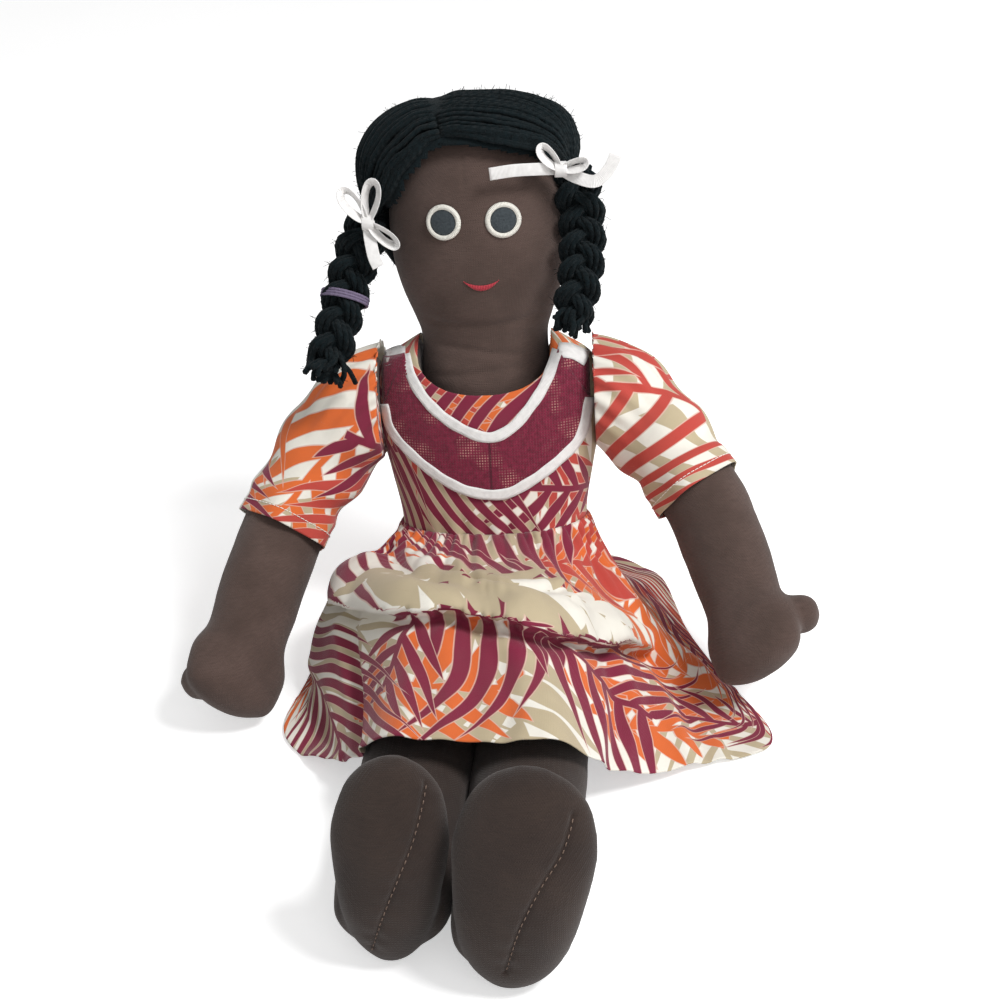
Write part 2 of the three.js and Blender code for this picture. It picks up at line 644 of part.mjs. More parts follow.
function skirtPoint(round, down, inward) {
  const stepShare = 0.004;
  const at = skirtBase(round, down);
  const along = skirtBase(round + stepShare, down).sub(skirtBase(round - stepShare, down));
  const fall = skirtBase(round, Math.min(down + stepShare, 1))
    .sub(skirtBase(round, Math.max(down - stepShare, 0)));
  const normal = fall.cross(along).normalize();
  const fold = FOLD_DEEP * Math.pow(down, 1.1) * Math.cos(SKIRT_FOLDS * round * Math.PI * 2);
  at.addScaledVector(normal, fold - inward);
  const floor = GAP + (inward > 0 ? 0 : CLOTH_THICK);
  at.z = Math.max(at.z, floor);
  return at;
}
const sideSeamShares = [0.215, 0.785];
function skirtPanel(from, to, steps) {
  const rows = [];
  for (let n = 0; n <= steps; n += 1) {
    const round = from + ((to - from) * n) / steps;
    const ring = [];
    skirtDownShares.forEach((share) => ring.push(skirtPoint(round, share, 0)));
    skirtDownShares.toReversed().forEach((share) => ring.push(skirtPoint(round, share, CLOTH_THICK)));
    rows.push(ring);
  }
  const points = rows.flat();
  const sides = rows[0].length;
  const index = [];
  for (let n = 0; n < steps; n += 1) {
    for (let s = 0; s < sides; s += 1) {
      const a = n * sides + s;
      const b = n * sides + ((s + 1) % sides);
      index.push(a, b, a + sides, b, b + sides, a + sides);
    }
  }
  const last = steps * sides;
  for (let s = 0; s + 1 < skirtDownShares.length; s += 1) {
    const back = sides - 1 - s;
    index.push(s, back, s + 1, s + 1, back, back - 1);
    index.push(last + s, last + s + 1, last + back, last + s + 1, last + back - 1, last + back);
  }
  return shellOf(points, index);
}
const seamGapShare = GAP / (HEM_HALF * 2);
const frontSteps = Math.round(SKIRT_ROUND_STEPS * (sideSeamShares[1] - sideSeamShares[0]));
const skirtFront = skirtPanel(
  sideSeamShares[0] + seamGapShare, sideSeamShares[1] - seamGapShare, frontSteps,
);
const skirtBack = skirtPanel(
  sideSeamShares[1] - 1 + seamGapShare, sideSeamShares[0] - seamGapShare, SKIRT_ROUND_STEPS - frontSteps,
);

// Face patches
const headPatch = (outline) => clothOver(headForm, GAP, GAP + PATCH_THICK)
  .intersect(through(outline, 0, FAR));
function eyeRing(side) {
  const outline = new THREE.Shape();
  const across = sideWay[side] * EYE_APART / 2;
  outline.absarc(across, EYE_UP, EYE_RADIUS, 0, Math.PI * 2, false);
  const hole = new THREE.Path();
  hole.absarc(across, EYE_UP, PUPIL_RADIUS + GAP, 0, Math.PI * 2, true);
  outline.holes.push(hole);
  return headPatch(outline);
}
function pupil(side) {
  const outline = new THREE.Shape();
  outline.absarc(sideWay[side] * EYE_APART / 2, EYE_UP, PUPIL_RADIUS, 0, Math.PI * 2, false);
  return headPatch(outline);
}
const smile = new THREE.Shape();
smile.moveTo(-MOUTH_WIDE / 2, MOUTH_UP + MOUTH_DIP);
smile.quadraticCurveTo(0, MOUTH_UP - MOUTH_DIP, MOUTH_WIDE / 2, MOUTH_UP + MOUTH_DIP);
smile.quadraticCurveTo(0, MOUTH_UP - MOUTH_DIP + MOUTH_THICK * 2, -MOUTH_WIDE / 2, MOUTH_UP + MOUTH_DIP);
const mouth = headPatch(smile);

// Hair: yarn laid over the head in two bunches that part off the middle
const face = new THREE.Shape();
const faceHalf = HEAD_HALF_WIDE + HAIR_THICK * 2;
face.moveTo(-faceHalf, headLow - OVERRUN);
face.lineTo(-faceHalf, TEMPLE_UP);
face.lineTo(-HEAD_HALF_WIDE * 0.97, TEMPLE_UP);
face.quadraticCurveTo(
  -HEAD_HALF_WIDE * 0.74, HAIRLINE_UP - (HAIRLINE_UP - TEMPLE_UP) * 0.3, -PARTING_OFF * 0.5, HAIRLINE_UP,
);
face.quadraticCurveTo(
  HEAD_HALF_WIDE * 0.5, HAIRLINE_UP, HEAD_HALF_WIDE * 0.88, TEMPLE_UP + HAIR_THICK * 2,
);
face.lineTo(faceHalf, TEMPLE_UP + HAIR_THICK);
face.lineTo(faceHalf, headLow - OVERRUN);
const nape = outlineOf([
  [-FAR, headLow - OVERRUN], [FAR, headLow - OVERRUN], [FAR, NAPE_UP], [-FAR, NAPE_UP],
]);
// Shares of the hair's height from under the chin, its half width and its half depth:
// full over the crown, and drawn in towards the tie
const hairShares = {
  right: [
    [0, 0.6, 0.72], [0.2, 0.74, 0.84], [0.36, 0.82, 0.94], [0.52, 0.87, 0.98], [0.64, 1.02, 1],
    [0.76, 1.02, 0.98], [0.86, 0.92, 0.88], [0.93, 0.76, 0.74], [0.975, 0.54, 0.54], [1, 0.3, 0.32],
  ],
  left: [
    [0, 0.6, 0.72], [0.2, 0.74, 0.84], [0.36, 0.83, 0.94], [0.52, 0.86, 0.98], [0.66, 0.84, 1],
    [0.78, 0.9, 0.98], [0.86, 0.86, 0.88], [0.93, 0.74, 0.74], [0.975, 0.54, 0.54], [1, 0.3, 0.32],
  ],
};
const hairForm = (side, grow) => stuffed({
  spine: new THREE.LineCurve3(
    lean(0, 0, CHIN_UP - HAIR_THICK),
    lean(0, 0, CHIN_UP + HEAD_LONG + HAIR_ABOVE_HEAD),
  ),
  across: vec(1, 0, 0),
  shares: hairShares[side],
  wide: HAIR_HALF_WIDE,
  deep: HAIR_HALF_DEEP,
  steps: BODY_STEPS,
  sides: BODY_SIDES,
}, grow);
const hairSide = (side, low, high) => hairForm(side, 0)
  .subtract(headForm(GAP))
  .subtract(through(face, -HEAD_HALF_DEEP * 0.1, FAR))
  .subtract(through(nape, -FAR, FAR))
  .intersect(through(outlineOf([[low, headLow], [high, headLow], [high, FAR], [low, FAR]]), -FAR, FAR));
const hairRight = hairSide('right', -FAR, -PARTING_OFF - GAP / 2);
const hairLeft = hairSide('left', -PARTING_OFF + GAP / 2, FAR);

// A place by the head, as shares of its half width, its half depth and its height from the chin
const byHead = ([acrossShare, forwardShare, upShare]) => lean(
  acrossShare * HEAD_HALF_WIDE, forwardShare * HEAD_HALF_DEEP, CHIN_UP + upShare * HEAD_LONG,
);

// Plaits hang from ties at the temples and end in a short brush of loose yarn
const plaitShares = {
  right: [[-1.2, 0.36, 0.5], [-1.4, 0.6, 0.255], [-1.58, 0.98, -0.009], [-1.739, 1.222, -0.226]],
  left: [[1.08, 0.36, 0.7], [1.15, 0.52, 0.453], [1.11, 0.85, 0.198], [0.98, 1.03, -0.019]],
};
const plaitRootShares = { right: [-1.18, 0.36, 0.509], left: [1.08, 0.36, 0.708] };
const plaitWaveShares = (count) => {
  const rows = [[0, 0.6, 0.6]];
  for (let n = 1; n < count * 2; n += 1) {
    const along = n / (count * 2);
    const swell = n % 2 === 1 ? PLAIT_SWELL_DEEP / PLAIT_RADIUS : -PLAIT_SWELL_DEEP / PLAIT_RADIUS;
    rows.push([along * 0.9, 0.9 + swell - along * 0.06, 0.9 + swell - along * 0.06]);
  }
  rows.push([0.92, 0.98, 0.9], [1, 0.82, 0.7]);
  return rows;
};
const plaitSpine = (side) => new THREE.CatmullRomCurve3(plaitShares[side].map(byHead));
const plaitForm = (side, grow) => stuffed({
  spine: plaitSpine(side),
  across: vec(1, 0, 0),
  shares: plaitWaveShares(PLAIT_TURNS),
  wide: PLAIT_RADIUS,
  deep: PLAIT_RADIUS * 0.86,
  steps: PLAIT_TURNS * 4,
  sides: 12,
}, grow);
const plait = (side) => plaitForm(side, 0)
  .subtract(hairForm(side, GAP))
  .subtract(headForm(GAP))
  .subtract(torsoForm(trimIn + RIBBON_THICK + GAP));

// An elastic band holds the right plait part of the way down
function plaitBand() {
  const spine = plaitSpine('right');
  const bandShare = 0.48;
  return ringAt(spine.getPointAt(bandShare), spine.getTangentAt(bandShare), PLAIT_RADIUS, BAND_TUBE)
    .subtract(plaitForm('right', GAP));
}

// A flat strip of ribbon along a path, its width held in one direction
function strip(path, wideWay, wide, thick) {
  const rings = path.map((point, n) => {
    const before = path[Math.max(n - 1, 0)];
    const after = path[Math.min(n + 1, path.length - 1)];
    const way = after.clone().sub(before).normalize();
    const flat = wideWay.clone().addScaledVector(way, -wideWay.dot(way)).normalize();
    const up = way.clone().cross(flat);
    return [[1, 1], [-1, 1], [-1, -1], [1, -1]].map(([a, b]) => point.clone()
      .addScaledVector(flat, (a * wide) / 2)
      .addScaledVector(up, (b * thick) / 2));
  });
  return solid(skinOver(rings, middleOf(rings[0]), middleOf(rings.at(-1))));
}

// A bow: two or three loops and the tails, all from one knot.
// Loops end at [across, up] from the knot and tails at [across, up, forward], as shares
// of the loop's length.
const LOOP_STEPS = 9;
const LOOP_LONG = 21;
const KNOT_RADIUS = 4.2;
const KNOT_HALF_DEEP = 6;
const knotShares = { right: [-1.15, 0.75, 0.509], left: [0.95, 0.78, 0.717] };
const loopShares = {
  right: [[-0.55, 0.9], [0.35, 1.05], [0.78, -0.62]],
  left: [[-0.5, 0.6], [0.62, 0.1]],
};
const tailShares = {
  right: [[0.1, -0.95, 0.56]],
  left: [[-1.6, -0.02, 0.9], [1, -0.25, 0.4]],
};
function bow(side) {
  const knot = byHead(knotShares[side]);
  const place = (across, up, forward) => knot.clone().add(lean(across, forward, up)).sub(lean(0, 0, 0));
  const ball = new THREE.SphereGeometry(KNOT_RADIUS, 8, 6);
  ball.scale(1, KNOT_HALF_DEEP / KNOT_RADIUS, 1);
  ball.rotateX(-RECLINE);
  ball.translate(knot.x, knot.y, knot.z);
  let whole = solid(ball);
  loopShares[side].forEach(([a, u]) => {
    const long = LOOP_LONG * Math.hypot(a, u);
    const way = [a / Math.hypot(a, u), u / Math.hypot(a, u)];
    const path = [];
    for (let n = 0; n <= LOOP_STEPS; n += 1) {
      const turn = (n / LOOP_STEPS) * Math.PI * 2;
      const out = long * 0.5 * (1 - Math.cos(turn));
      const off = long * 0.26 * Math.sin(turn) * Math.sqrt(out / long);
      path.push(place(way[0] * out - way[1] * off, way[1] * out + way[0] * off, 0));
    }
    path[LOOP_STEPS].addScaledVector(lean(0, 1, 0).sub(lean(0, 0, 0)), RIBBON_THICK / 2);
    whole = whole.add(strip(path, lean(0, 1, 0).sub(lean(0, 0, 0)), RIBBON_WIDE * 0.8, RIBBON_THICK));
  });
  tailShares[side].forEach(([a, u, f]) => {
    const wideWay = lean(-u, 0, a).sub(lean(0, 0, 0));
    const path = [0, 0.35, 0.7, 1].map((share) => place(
      a * LOOP_LONG * share,
      u * LOOP_LONG * share,
      f * LOOP_LONG * share + KNOT_RADIUS * 0.3 * Math.sin(share * Math.PI),
    ));
    whole = whole.add(strip(path, wideWay, RIBBON_WIDE, RIBBON_THICK));
  });
  return whole.subtract(plaitForm(side, GAP)).subtract(hairForm(side, GAP)).subtract(headForm(GAP));
}

function ringAt(centre, way, round, tube) {
  const geometry = new THREE.TorusGeometry(round, tube, 5, 12);
  geometry.applyQuaternion(new THREE.Quaternion().setFromUnitVectors(vec(0, 0, 1), way));
  geometry.translate(centre.x, centre.y, centre.z);
  return solid(geometry);
}

// Assembly: each carrier is a group at its joint, and its pieces are placed from there
const doll = new THREE.Group();
function carrier(parent, at) {
  const group = new THREE.Group();
  const parentAt = parent.userData.at ?? vec(0, 0, 0);
  group.position.copy(at).sub(parentAt);
  group.userData.at = at.clone();
  parent.add(group);
  return group;
}
function piece(group, name, shape, material) {
  const geometry = shape instanceof THREE.BufferGeometry ? shape : drawn(shape);
  const at = group.userData.at ?? vec(0, 0, 0);
  geometry.translate(-at.x, -at.y, -at.z);
  geometry.computeVertexNormals();
  const made = new THREE.Mesh(geometry, material);
  made.name = name;
  group.add(made);
}

piece(doll, 'torso', torso, skin);
piece(doll, 'bodice_front', bodiceFront, print);
piece(doll, 'bodice_back', bodiceBack, print);
piece(doll, 'yoke', yoke, mesh);
piece(doll, 'yoke_trim_inner', yokeTrimInner, ribbon);
piece(doll, 'yoke_trim_outer', yokeTrimOuter, ribbon);
piece(doll, 'back_button', backButton, white);
piece(doll, 'skirt_back', skirtBack, print);

const headGroup = carrier(doll, nodAt);
piece(headGroup, 'head', head, skin);
piece(headGroup, 'hair_right', hairRight, yarn);
piece(headGroup, 'hair_left', hairLeft, yarn);
piece(headGroup, 'mouth', mouth, red);

const lapGroup = carrier(doll, hipAt);
piece(lapGroup, 'skirt_front', skirtFront, print);

for (const side of ['right', 'left']) {
  piece(headGroup, `eye_white_${side}`, eyeRing(side), white);
  piece(headGroup, `pupil_${side}`, pupil(side), grey);
  piece(headGroup, `bow_${side}`, bow(side), ribbon);

  const plaitGroup = carrier(headGroup, byHead(plaitRootShares[side]));
  piece(plaitGroup, `plait_${side}`, plait(side), yarn);
  if (side === 'right') piece(plaitGroup, 'plait_band', plaitBand(), purple);

  const armGroup = carrier(doll, shoulderAt(side));
  piece(armGroup, `arm_${side}`, armForm(side, 0), skin);
  piece(armGroup, `sleeve_${side}`, sleeve(side), print);

  const legGroup = carrier(lapGroup, hipAt);
  piece(legGroup, `leg_${side}`, side === 'right' ? legRight : legLeft, skin);
}

export default doll;
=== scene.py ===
import math

import bmesh
import bpy
import numpy as np
from mathutils import Matrix, Vector, noise
from mathutils.bvhtree import BVHTree
from mathutils.kdtree import KDTree


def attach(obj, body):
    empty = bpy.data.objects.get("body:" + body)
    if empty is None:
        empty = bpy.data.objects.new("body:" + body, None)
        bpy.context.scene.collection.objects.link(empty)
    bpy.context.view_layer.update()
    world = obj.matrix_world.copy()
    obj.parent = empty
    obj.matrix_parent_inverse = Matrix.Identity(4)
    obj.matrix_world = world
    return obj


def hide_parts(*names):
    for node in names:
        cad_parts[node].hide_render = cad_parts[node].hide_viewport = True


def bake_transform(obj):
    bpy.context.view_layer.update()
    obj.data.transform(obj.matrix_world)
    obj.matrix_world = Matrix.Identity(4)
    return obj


# A sewn rag doll in a printed cotton dress. Lengths in the code are millimetres until a mesh is made.
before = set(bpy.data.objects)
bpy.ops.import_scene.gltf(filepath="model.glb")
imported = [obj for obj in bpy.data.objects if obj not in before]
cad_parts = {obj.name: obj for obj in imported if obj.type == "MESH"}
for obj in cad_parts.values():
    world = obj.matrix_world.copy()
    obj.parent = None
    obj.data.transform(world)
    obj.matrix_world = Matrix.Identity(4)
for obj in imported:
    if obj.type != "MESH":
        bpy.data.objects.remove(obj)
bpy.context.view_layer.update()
MM = 0.001

# The camera, at the photograph's viewing angle
VIEW_UP, VIEW_ROUND, VIEW_ROLL = math.radians(28), math.radians(5), math.radians(-4)
VIEW_FAR = 850
VIEW_AT = np.array([8.0, -58.0, 100.0])
VIEW_PIXELS = 1700
back = np.array([math.sin(VIEW_ROUND) * math.cos(VIEW_UP), -math.cos(VIEW_ROUND) * math.cos(VIEW_UP),
                 math.sin(VIEW_UP)])
eye_at = VIEW_AT + VIEW_FAR * back
level = np.cross(-back, (0, 0, 1))
level /= np.linalg.norm(level)
upright = np.cross(level, -back)
view_right = level * math.cos(VIEW_ROLL) + upright * math.sin(VIEW_ROLL)
view_up = upright * math.cos(VIEW_ROLL) - level * math.sin(VIEW_ROLL)
lens = bpy.data.cameras.new("camera")
lens.sensor_width = 36
lens.lens = VIEW_PIXELS / 1000 * 36
lens.clip_end = 20
camera = bpy.data.objects.new("camera", lens)
bpy.context.scene.collection.objects.link(camera)
turned = Matrix([[view_right[i], view_up[i], back[i]] for i in range(3)]).to_4x4()
camera.matrix_world = Matrix.Translation(Vector(eye_at * MM)) @ turned
bpy.context.scene.camera = camera


def sight(px, py):
    """The ray from the camera through a pixel of the photograph."""
    way = -back + view_right * (px - 500) / VIEW_PIXELS - view_up * (py - 500) / VIEW_PIXELS
    return Vector(eye_at), Vector(way).normalized()


# Curves and forms, as the solids have them. The body leans back, and "up" is measured along its lean.
# It starts LEAN_FROM in front of the origin.
LEAN_SIN, LEAN_COS = math.sin(math.radians(10)), math.cos(math.radians(10))
LEAN_FROM = 13


def lean(across, forward, up):
    """The place that lies so far across, forward and up on the leaning body."""
    across, forward, up = np.broadcast_arrays(*(np.asarray(v, float) for v in (across, forward, up)))
    y = -LEAN_FROM + up * LEAN_SIN - forward * LEAN_COS
    return np.stack([across, y, up * LEAN_COS + forward * LEAN_SIN], -1)


X_WAY = np.array([1.0, 0, 0])
LEAN_ACROSS, LEAN_FORWARD, LEAN_UP = (lean(*v) - lean(0, 0, 0) for v in ((1, 0, 0), (0, 1, 0), (0, 0, 1)))


def from_lean(points):
    """How far across, forward and up on the leaning body each place lies."""
    points = np.asarray(points, float)
    y, z = points[..., 1] + LEAN_FROM, points[..., 2]
    return points[..., 0], z * LEAN_SIN - y * LEAN_COS, y * LEAN_SIN + z * LEAN_COS


def smoothstep(x, low, high):
    t = np.clip((np.asarray(x, float) - low) / (high - low), 0, 1)
    return t * t * (3 - 2 * t)


def unit(v):
    return v / np.maximum(np.linalg.norm(v, axis=-1, keepdims=True), 1e-9)


def bell(x, wide):
    return np.exp(-(x / wide) ** 2)


def circle(count):
    return np.arange(count) / count * math.tau


def travelled(path):
    """How far each point lies along a path."""
    return np.concatenate([[0], np.cumsum(np.linalg.norm(np.diff(path, axis=0), axis=1))])


def kd_of(points):
    tree = KDTree(len(points))
    for i, p in enumerate(points):
        tree.insert(p, i)
    tree.balance()
    return tree


class Line:
    """A smooth curve through points."""

    def __init__(self, points, closed=False):
        p = np.array(points, float)
        self.closed = closed
        if closed:
            self.ext = np.vstack([p[-1:], p, p[:2]])
        else:
            self.ext = np.vstack([2 * p[:1] - p[1:2], p, 2 * p[-1:] - p[-2:-1]])
        self.spans = len(p) if closed else len(p) - 1
        self.ts = np.linspace(0, 1, 201)
        self.lengths = travelled(self.points(self.ts))
        self.long = self.lengths[-1]

    def points(self, t):
        t = np.atleast_1d(np.asarray(t, float))
        pos = (t % 1 if self.closed else np.clip(t, 0, 1)) * self.spans
        i = np.minimum(np.floor(pos).astype(int), self.spans - 1)
        w = (pos - i)[:, None]
        p0, p1, p2, p3 = (self.ext[i + k] for k in range(4))
        steps = (p0, p1), (p1, p2), (p2, p3)
        d0, d1, d2 = (np.linalg.norm(b - a, axis=1)[:, None] ** 0.5 for a, b in steps)
        d1 = np.where(d1 < 1e-4, 1, d1)
        d0, d2 = np.where(d0 < 1e-4, d1, d0), np.where(d2 < 1e-4, d1, d2)
        t1 = ((p1 - p0) / d0 - (p2 - p0) / (d0 + d1) + (p2 - p1) / d1) * d1
        t2 = ((p2 - p1) / d1 - (p3 - p1) / (d1 + d2) + (p3 - p2) / d2) * d1
        return p1 + t1 * w + (3 * (p2 - p1) - 2 * t1 - t2) * w ** 2 + (2 * (p1 - p2) + t1 + t2) * w ** 3

    def place(self, share):
        return np.interp(np.atleast_1d(share) * self.long, self.lengths, self.ts)

    def at(self, share):
        return self.points(self.place(share))

    def way(self, share):
        t = self.place(share)
        if self.closed:
            return unit(self.points(t + 1e-3) - self.points(t - 1e-3))
        return unit(self.points(np.minimum(t + 1e-3, 1)) - self.points(np.maximum(t - 1e-3, 0)))


def across_line(way, across=X_WAY):
    """Two ways square to a line: one nearest to across, and the third."""
    out = unit(across - way * np.expand_dims(way @ across, -1))
    return out, np.cross(way, out)


def rings_of(spine, across, shares, wide, deep, steps, sides, grow=0.0):
    """Rings along a spine, from rows of its share and the shares of the half width and depth there."""
    rows = Line(shares).points(np.linspace(0, 1, steps + 1))
    along = np.clip(rows[:, 0], 0, 1)
    out, up = across_line(spine.way(along), across)
    turn = circle(sides)
    aside = ((rows[:, 1] * wide + grow)[:, None] * np.cos(turn))[..., None]
    above = ((rows[:, 2] * deep + grow)[:, None] * np.sin(turn))[..., None]
    return spine.at(along)[:, None] + out[:, None] * aside + up[:, None] * above


def closed_rings(rings):
    n, sides = rings.shape[:2]
    points = np.vstack([rings.reshape(-1, 3), rings[0].mean(0), rings[-1].mean(0)])
    faces = grid_faces(n, sides, True)
    first, last, top = n * sides, n * sides + 1, (n - 1) * sides
    for s in range(sides):
        t = (s + 1) % sides
        faces += [(first, t, s), (last, top + s, top + t)]
    return points, faces


def make(name, points, faces, material, uvs=None):
    mesh = bpy.data.meshes.new(name)
    mesh.from_pydata((np.asarray(points, float) * MM).tolist(), [], faces)
    if uvs is not None:
        mesh.uv_layers.new(name="UVMap").data.foreach_set("uv", np.asarray(uvs, float).ravel())
    mesh.materials.append(material)
    mesh.polygons.foreach_set("use_smooth", [True] * len(mesh.polygons))
    mesh.update()
    obj = bpy.data.objects.new(name, mesh)
    bpy.context.scene.collection.objects.link(obj)
    return obj


def modified(obj, kind, **settings):
    """The object with a modifier applied."""
    mod = obj.modifiers.new(kind.lower(), kind)
    for key, value in settings.items():
        setattr(mod, key, value)
    bpy.context.view_layer.update()
    graph = bpy.context.evaluated_depsgraph_get()
    old, obj.data = obj.data, bpy.data.meshes.new_from_object(obj.evaluated_get(graph))
    obj.modifiers.clear()
    bpy.data.meshes.remove(old)
    return obj


def outward(obj):
    form = bmesh.new()
    form.from_mesh(obj.data)
    bmesh.ops.recalc_face_normals(form, faces=form.faces)
    form.to_mesh(obj.data)
    form.free()
    return obj


def places(obj, kind="co"):
    """The places of an object's vertices, or their normals."""
    found = np.zeros(len(obj.data.vertices) * 3)
    obj.data.vertices.foreach_get(kind, found)
    return found.reshape(-1, 3) / (MM if kind == "co" else 1)


def set_places(obj, points):
    obj.data.vertices.foreach_set("co", (points * MM).ravel())
    obj.data.update()


def tree_of(obj):
    return BVHTree.FromPolygons(places(obj).tolist(), [tuple(p.vertices) for p in obj.data.polygons])


def lumps(points, scale, seed=0.0):
    return np.array([noise.noise(Vector(p) * (1 / scale) + Vector((seed, seed * 1.7, seed * 0.3)))
                     for p in points])


def grid_faces(rows, cols, wrap=False):
    return [(r * cols + c, r * cols + (c + 1) % cols, (r + 1) * cols + (c + 1) % cols, (r + 1) * cols + c)
            for r in range(rows - 1) for c in range(cols if wrap else cols - 1)]


def grid(name, points, uv, material, last=None, thick=0.5, offset=-1.0):
    """A sheet as thick as cloth over a table of points, with a UV for each. Where the last column meets the
    first again, last is the u of each row there."""
    rows, cols = points.shape[:2]
    faces = grid_faces(rows, cols, last is not None)
    flat = uv.reshape(-1, 2)
    loops = []
    for f in faces:
        corner = flat[list(f)]
        if f[1] % cols == 0:
            corner[1:3, 0] = last[f[1] // cols], last[f[2] // cols]
        loops.append(corner)
    obj = make(name, points.reshape(-1, 3), faces, material, np.array(loops))
    return outward(modified(obj, "SOLIDIFY", thickness=thick * MM, offset=offset, use_rim=True))


# How many sides a strand has, and the ribbon's width
STRAND_SIDES, RIBBON = 6, 6.4


def tubes(paths, radii):
    """Round strands along paths: points, faces and UVs with u along the strand in metres."""
    points, faces, uvs = [], [], []
    sides, base = STRAND_SIDES, 0
    turn = circle(sides)
    for path, radius in zip(paths, radii):
        path = np.asarray(path, float)
        n = len(path)
        way = unit(np.gradient(path, axis=0))
        side = np.cross(way[0], (0.3, 0.2, 0.93))
        frames = []
        for w in way:
            side = side - w * (side @ w)
            side = side / max(np.linalg.norm(side), 1e-9)
            frames.append(side)
        a = np.array(frames)
        b = np.cross(way, a)
        out = a[:, None] * np.cos(turn)[:, None] + b[:, None] * np.sin(turn)[:, None]
        tips = path[:1] - way[:1] * radius * 0.6, path[-1:] + way[-1:] * radius * 0.6
        points += [(path[:, None] + radius * out).reshape(-1, 3), *tips]
        far = travelled(path) * MM
        faces += [tuple(base + v for v in f) for f in grid_faces(n, sides, True)]
        for i in range(n - 1):
            for s in range(sides):
                v, w = s / sides, (s + 1) / sides
                uvs += [(far[i], v), (far[i], w), (far[i + 1], w), (far[i + 1], v)]
        first, last, top = base + n * sides, base + n * sides + 1, base + (n - 1) * sides
        for s in range(sides):
            t = (s + 1) % sides
            faces += [(first, base + t, base + s), (last, top + s, top + t)]
            uvs += [(0, 0.5)] * 3 + [(far[-1], 0.5)] * 3
        base += n * sides + 2
    return np.vstack(points), faces, uvs


def strip(path, width_way, wide, thick):
    """A flat ribbon along a path: a closed strip whose u runs along it in metres and v across it."""
    path = np.asarray(path, float)
    way = unit(np.gradient(path, axis=0))
    flat = unit(width_way - way * np.sum(width_way * way, axis=1, keepdims=True))
    up = np.cross(way, flat)
    wide = np.broadcast_to(np.asarray(wide, float), (len(path),))[:, None]
    corners = [(0.5, 0.35), (0.44, 0.5), (-0.44, 0.5), (-0.5, 0.35),
               (-0.5, -0.35), (-0.44, -0.5), (0.44, -0.5), (0.5, -0.35)]
    ring = np.stack([path + flat * wide * a + up * thick * b for a, b in corners], 1)
    far = travelled(path) * MM
    points, faces = closed_rings(ring)
    table = [(u, (a + 0.5) * RIBBON * MM) for u in far for a, _ in corners]
    table += [(far[0], RIBBON / 2 * MM), (far[-1], RIBBON / 2 * MM)]
    return points, faces, [table[v] for f in faces for v in f]


def merged(parts):
    points, faces, uvs, base = [], [], [], 0
    for p, f, u in parts:
        points.append(p)
        faces += [tuple(i + base for i in face) for face in f]
        uvs += list(u)
        base += len(p)
    return np.vstack(points), faces, uvs


def colour(r, g, b):
    """A colour written in steps of 0 to 255, as the linear one that a shader takes."""
    return tuple(((c / 255 + 0.055) / 1.055) ** 2.4 if c > 10 else c / 255 / 12.92 for c in (r, g, b)) + (1,)


class Wire:
    """An output in a node tree, with sums and products that add nodes."""

    def __init__(self, tree, socket):
        self.tree, self.socket = tree, socket

    def __add__(self, other):
        return self.tree.math("ADD", self, other)

    def __sub__(self, other):
        return self.tree.math("SUBTRACT", self, other)

    def __rsub__(self, other):
        return self.tree.math("SUBTRACT", other, self)

    def __mul__(self, other):
        return self.tree.math("MULTIPLY", self, other)

    def __truediv__(self, other):
        return self.tree.math("DIVIDE", self, other)

    __radd__, __rmul__ = __add__, __mul__


class Tree:
    """Short calls for building shader nodes."""

    def __init__(self, tree):
        self.tree = tree

    def add(self, kind, inputs=None, out=0, **settings):
        node = self.tree.nodes.new(kind)
        for key, value in settings.items():
            setattr(node, key, value)
        for key, value in (inputs or {}).items():
            self.put(node.inputs[key], value)
        return Wire(self, node.outputs[out])

    def put(self, socket, value):
        if isinstance(value, Wire):
            self.tree.links.new(value.socket, socket)
        else:
            socket.default_value = value

    def math(self, operation, *values):
        return self.add("ShaderNodeMath", dict(enumerate(values)), operation=operation)

    def vector(self, operation, *values):
        return self.add("ShaderNodeVectorMath", dict(enumerate(values)), operation=operation)

    def mix(self, share, a, b):
        return self.add("ShaderNodeMix", {0: share, 6: a, 7: b}, 2, data_type="RGBA")

    def span(self, value, low, high, to_low=0.0, to_high=1.0):
        return self.add("ShaderNodeMapRange", {0: value, 1: low, 2: high, 3: to_low, 4: to_high})

    def noise(self, where, scale, detail=2.0, rough=0.5, out=0):
        return self.add("ShaderNodeTexNoise", {"Vector": where, "Scale": scale, "Detail": detail,
                                               "Roughness": rough}, out)

    def coords(self, kind="Object"):
        return self.add("ShaderNodeTexCoord", None, kind)

    def parts(self, vector):
        wire = self.add("ShaderNodeSeparateXYZ", {0: vector})
        return [Wire(self, out) for out in wire.socket.node.outputs]


def material(name, build, rough, sheen=0.0, sheen_rough=0.5, specular=0.3):
    """A fabric: build returns the colour and the height in metres."""
    made = bpy.data.materials.new(name)
    made.use_nodes = True
    tree = Tree(made.node_tree)
    shader = made.node_tree.nodes["Principled BSDF"]
    for key, value in (("Roughness", rough), ("Specular IOR Level", specular), ("Sheen Weight", sheen),
                       ("Sheen Roughness", sheen_rough)):
        shader.inputs[key].default_value = value
    hue, height = build(tree)
    tree.put(shader.inputs["Base Color"], hue)
    tree.put(shader.inputs["Normal"], tree.add("ShaderNodeBump", {"Strength": 1.0, "Distance": 1.0,
                                                                  "Height": height}))
    return made


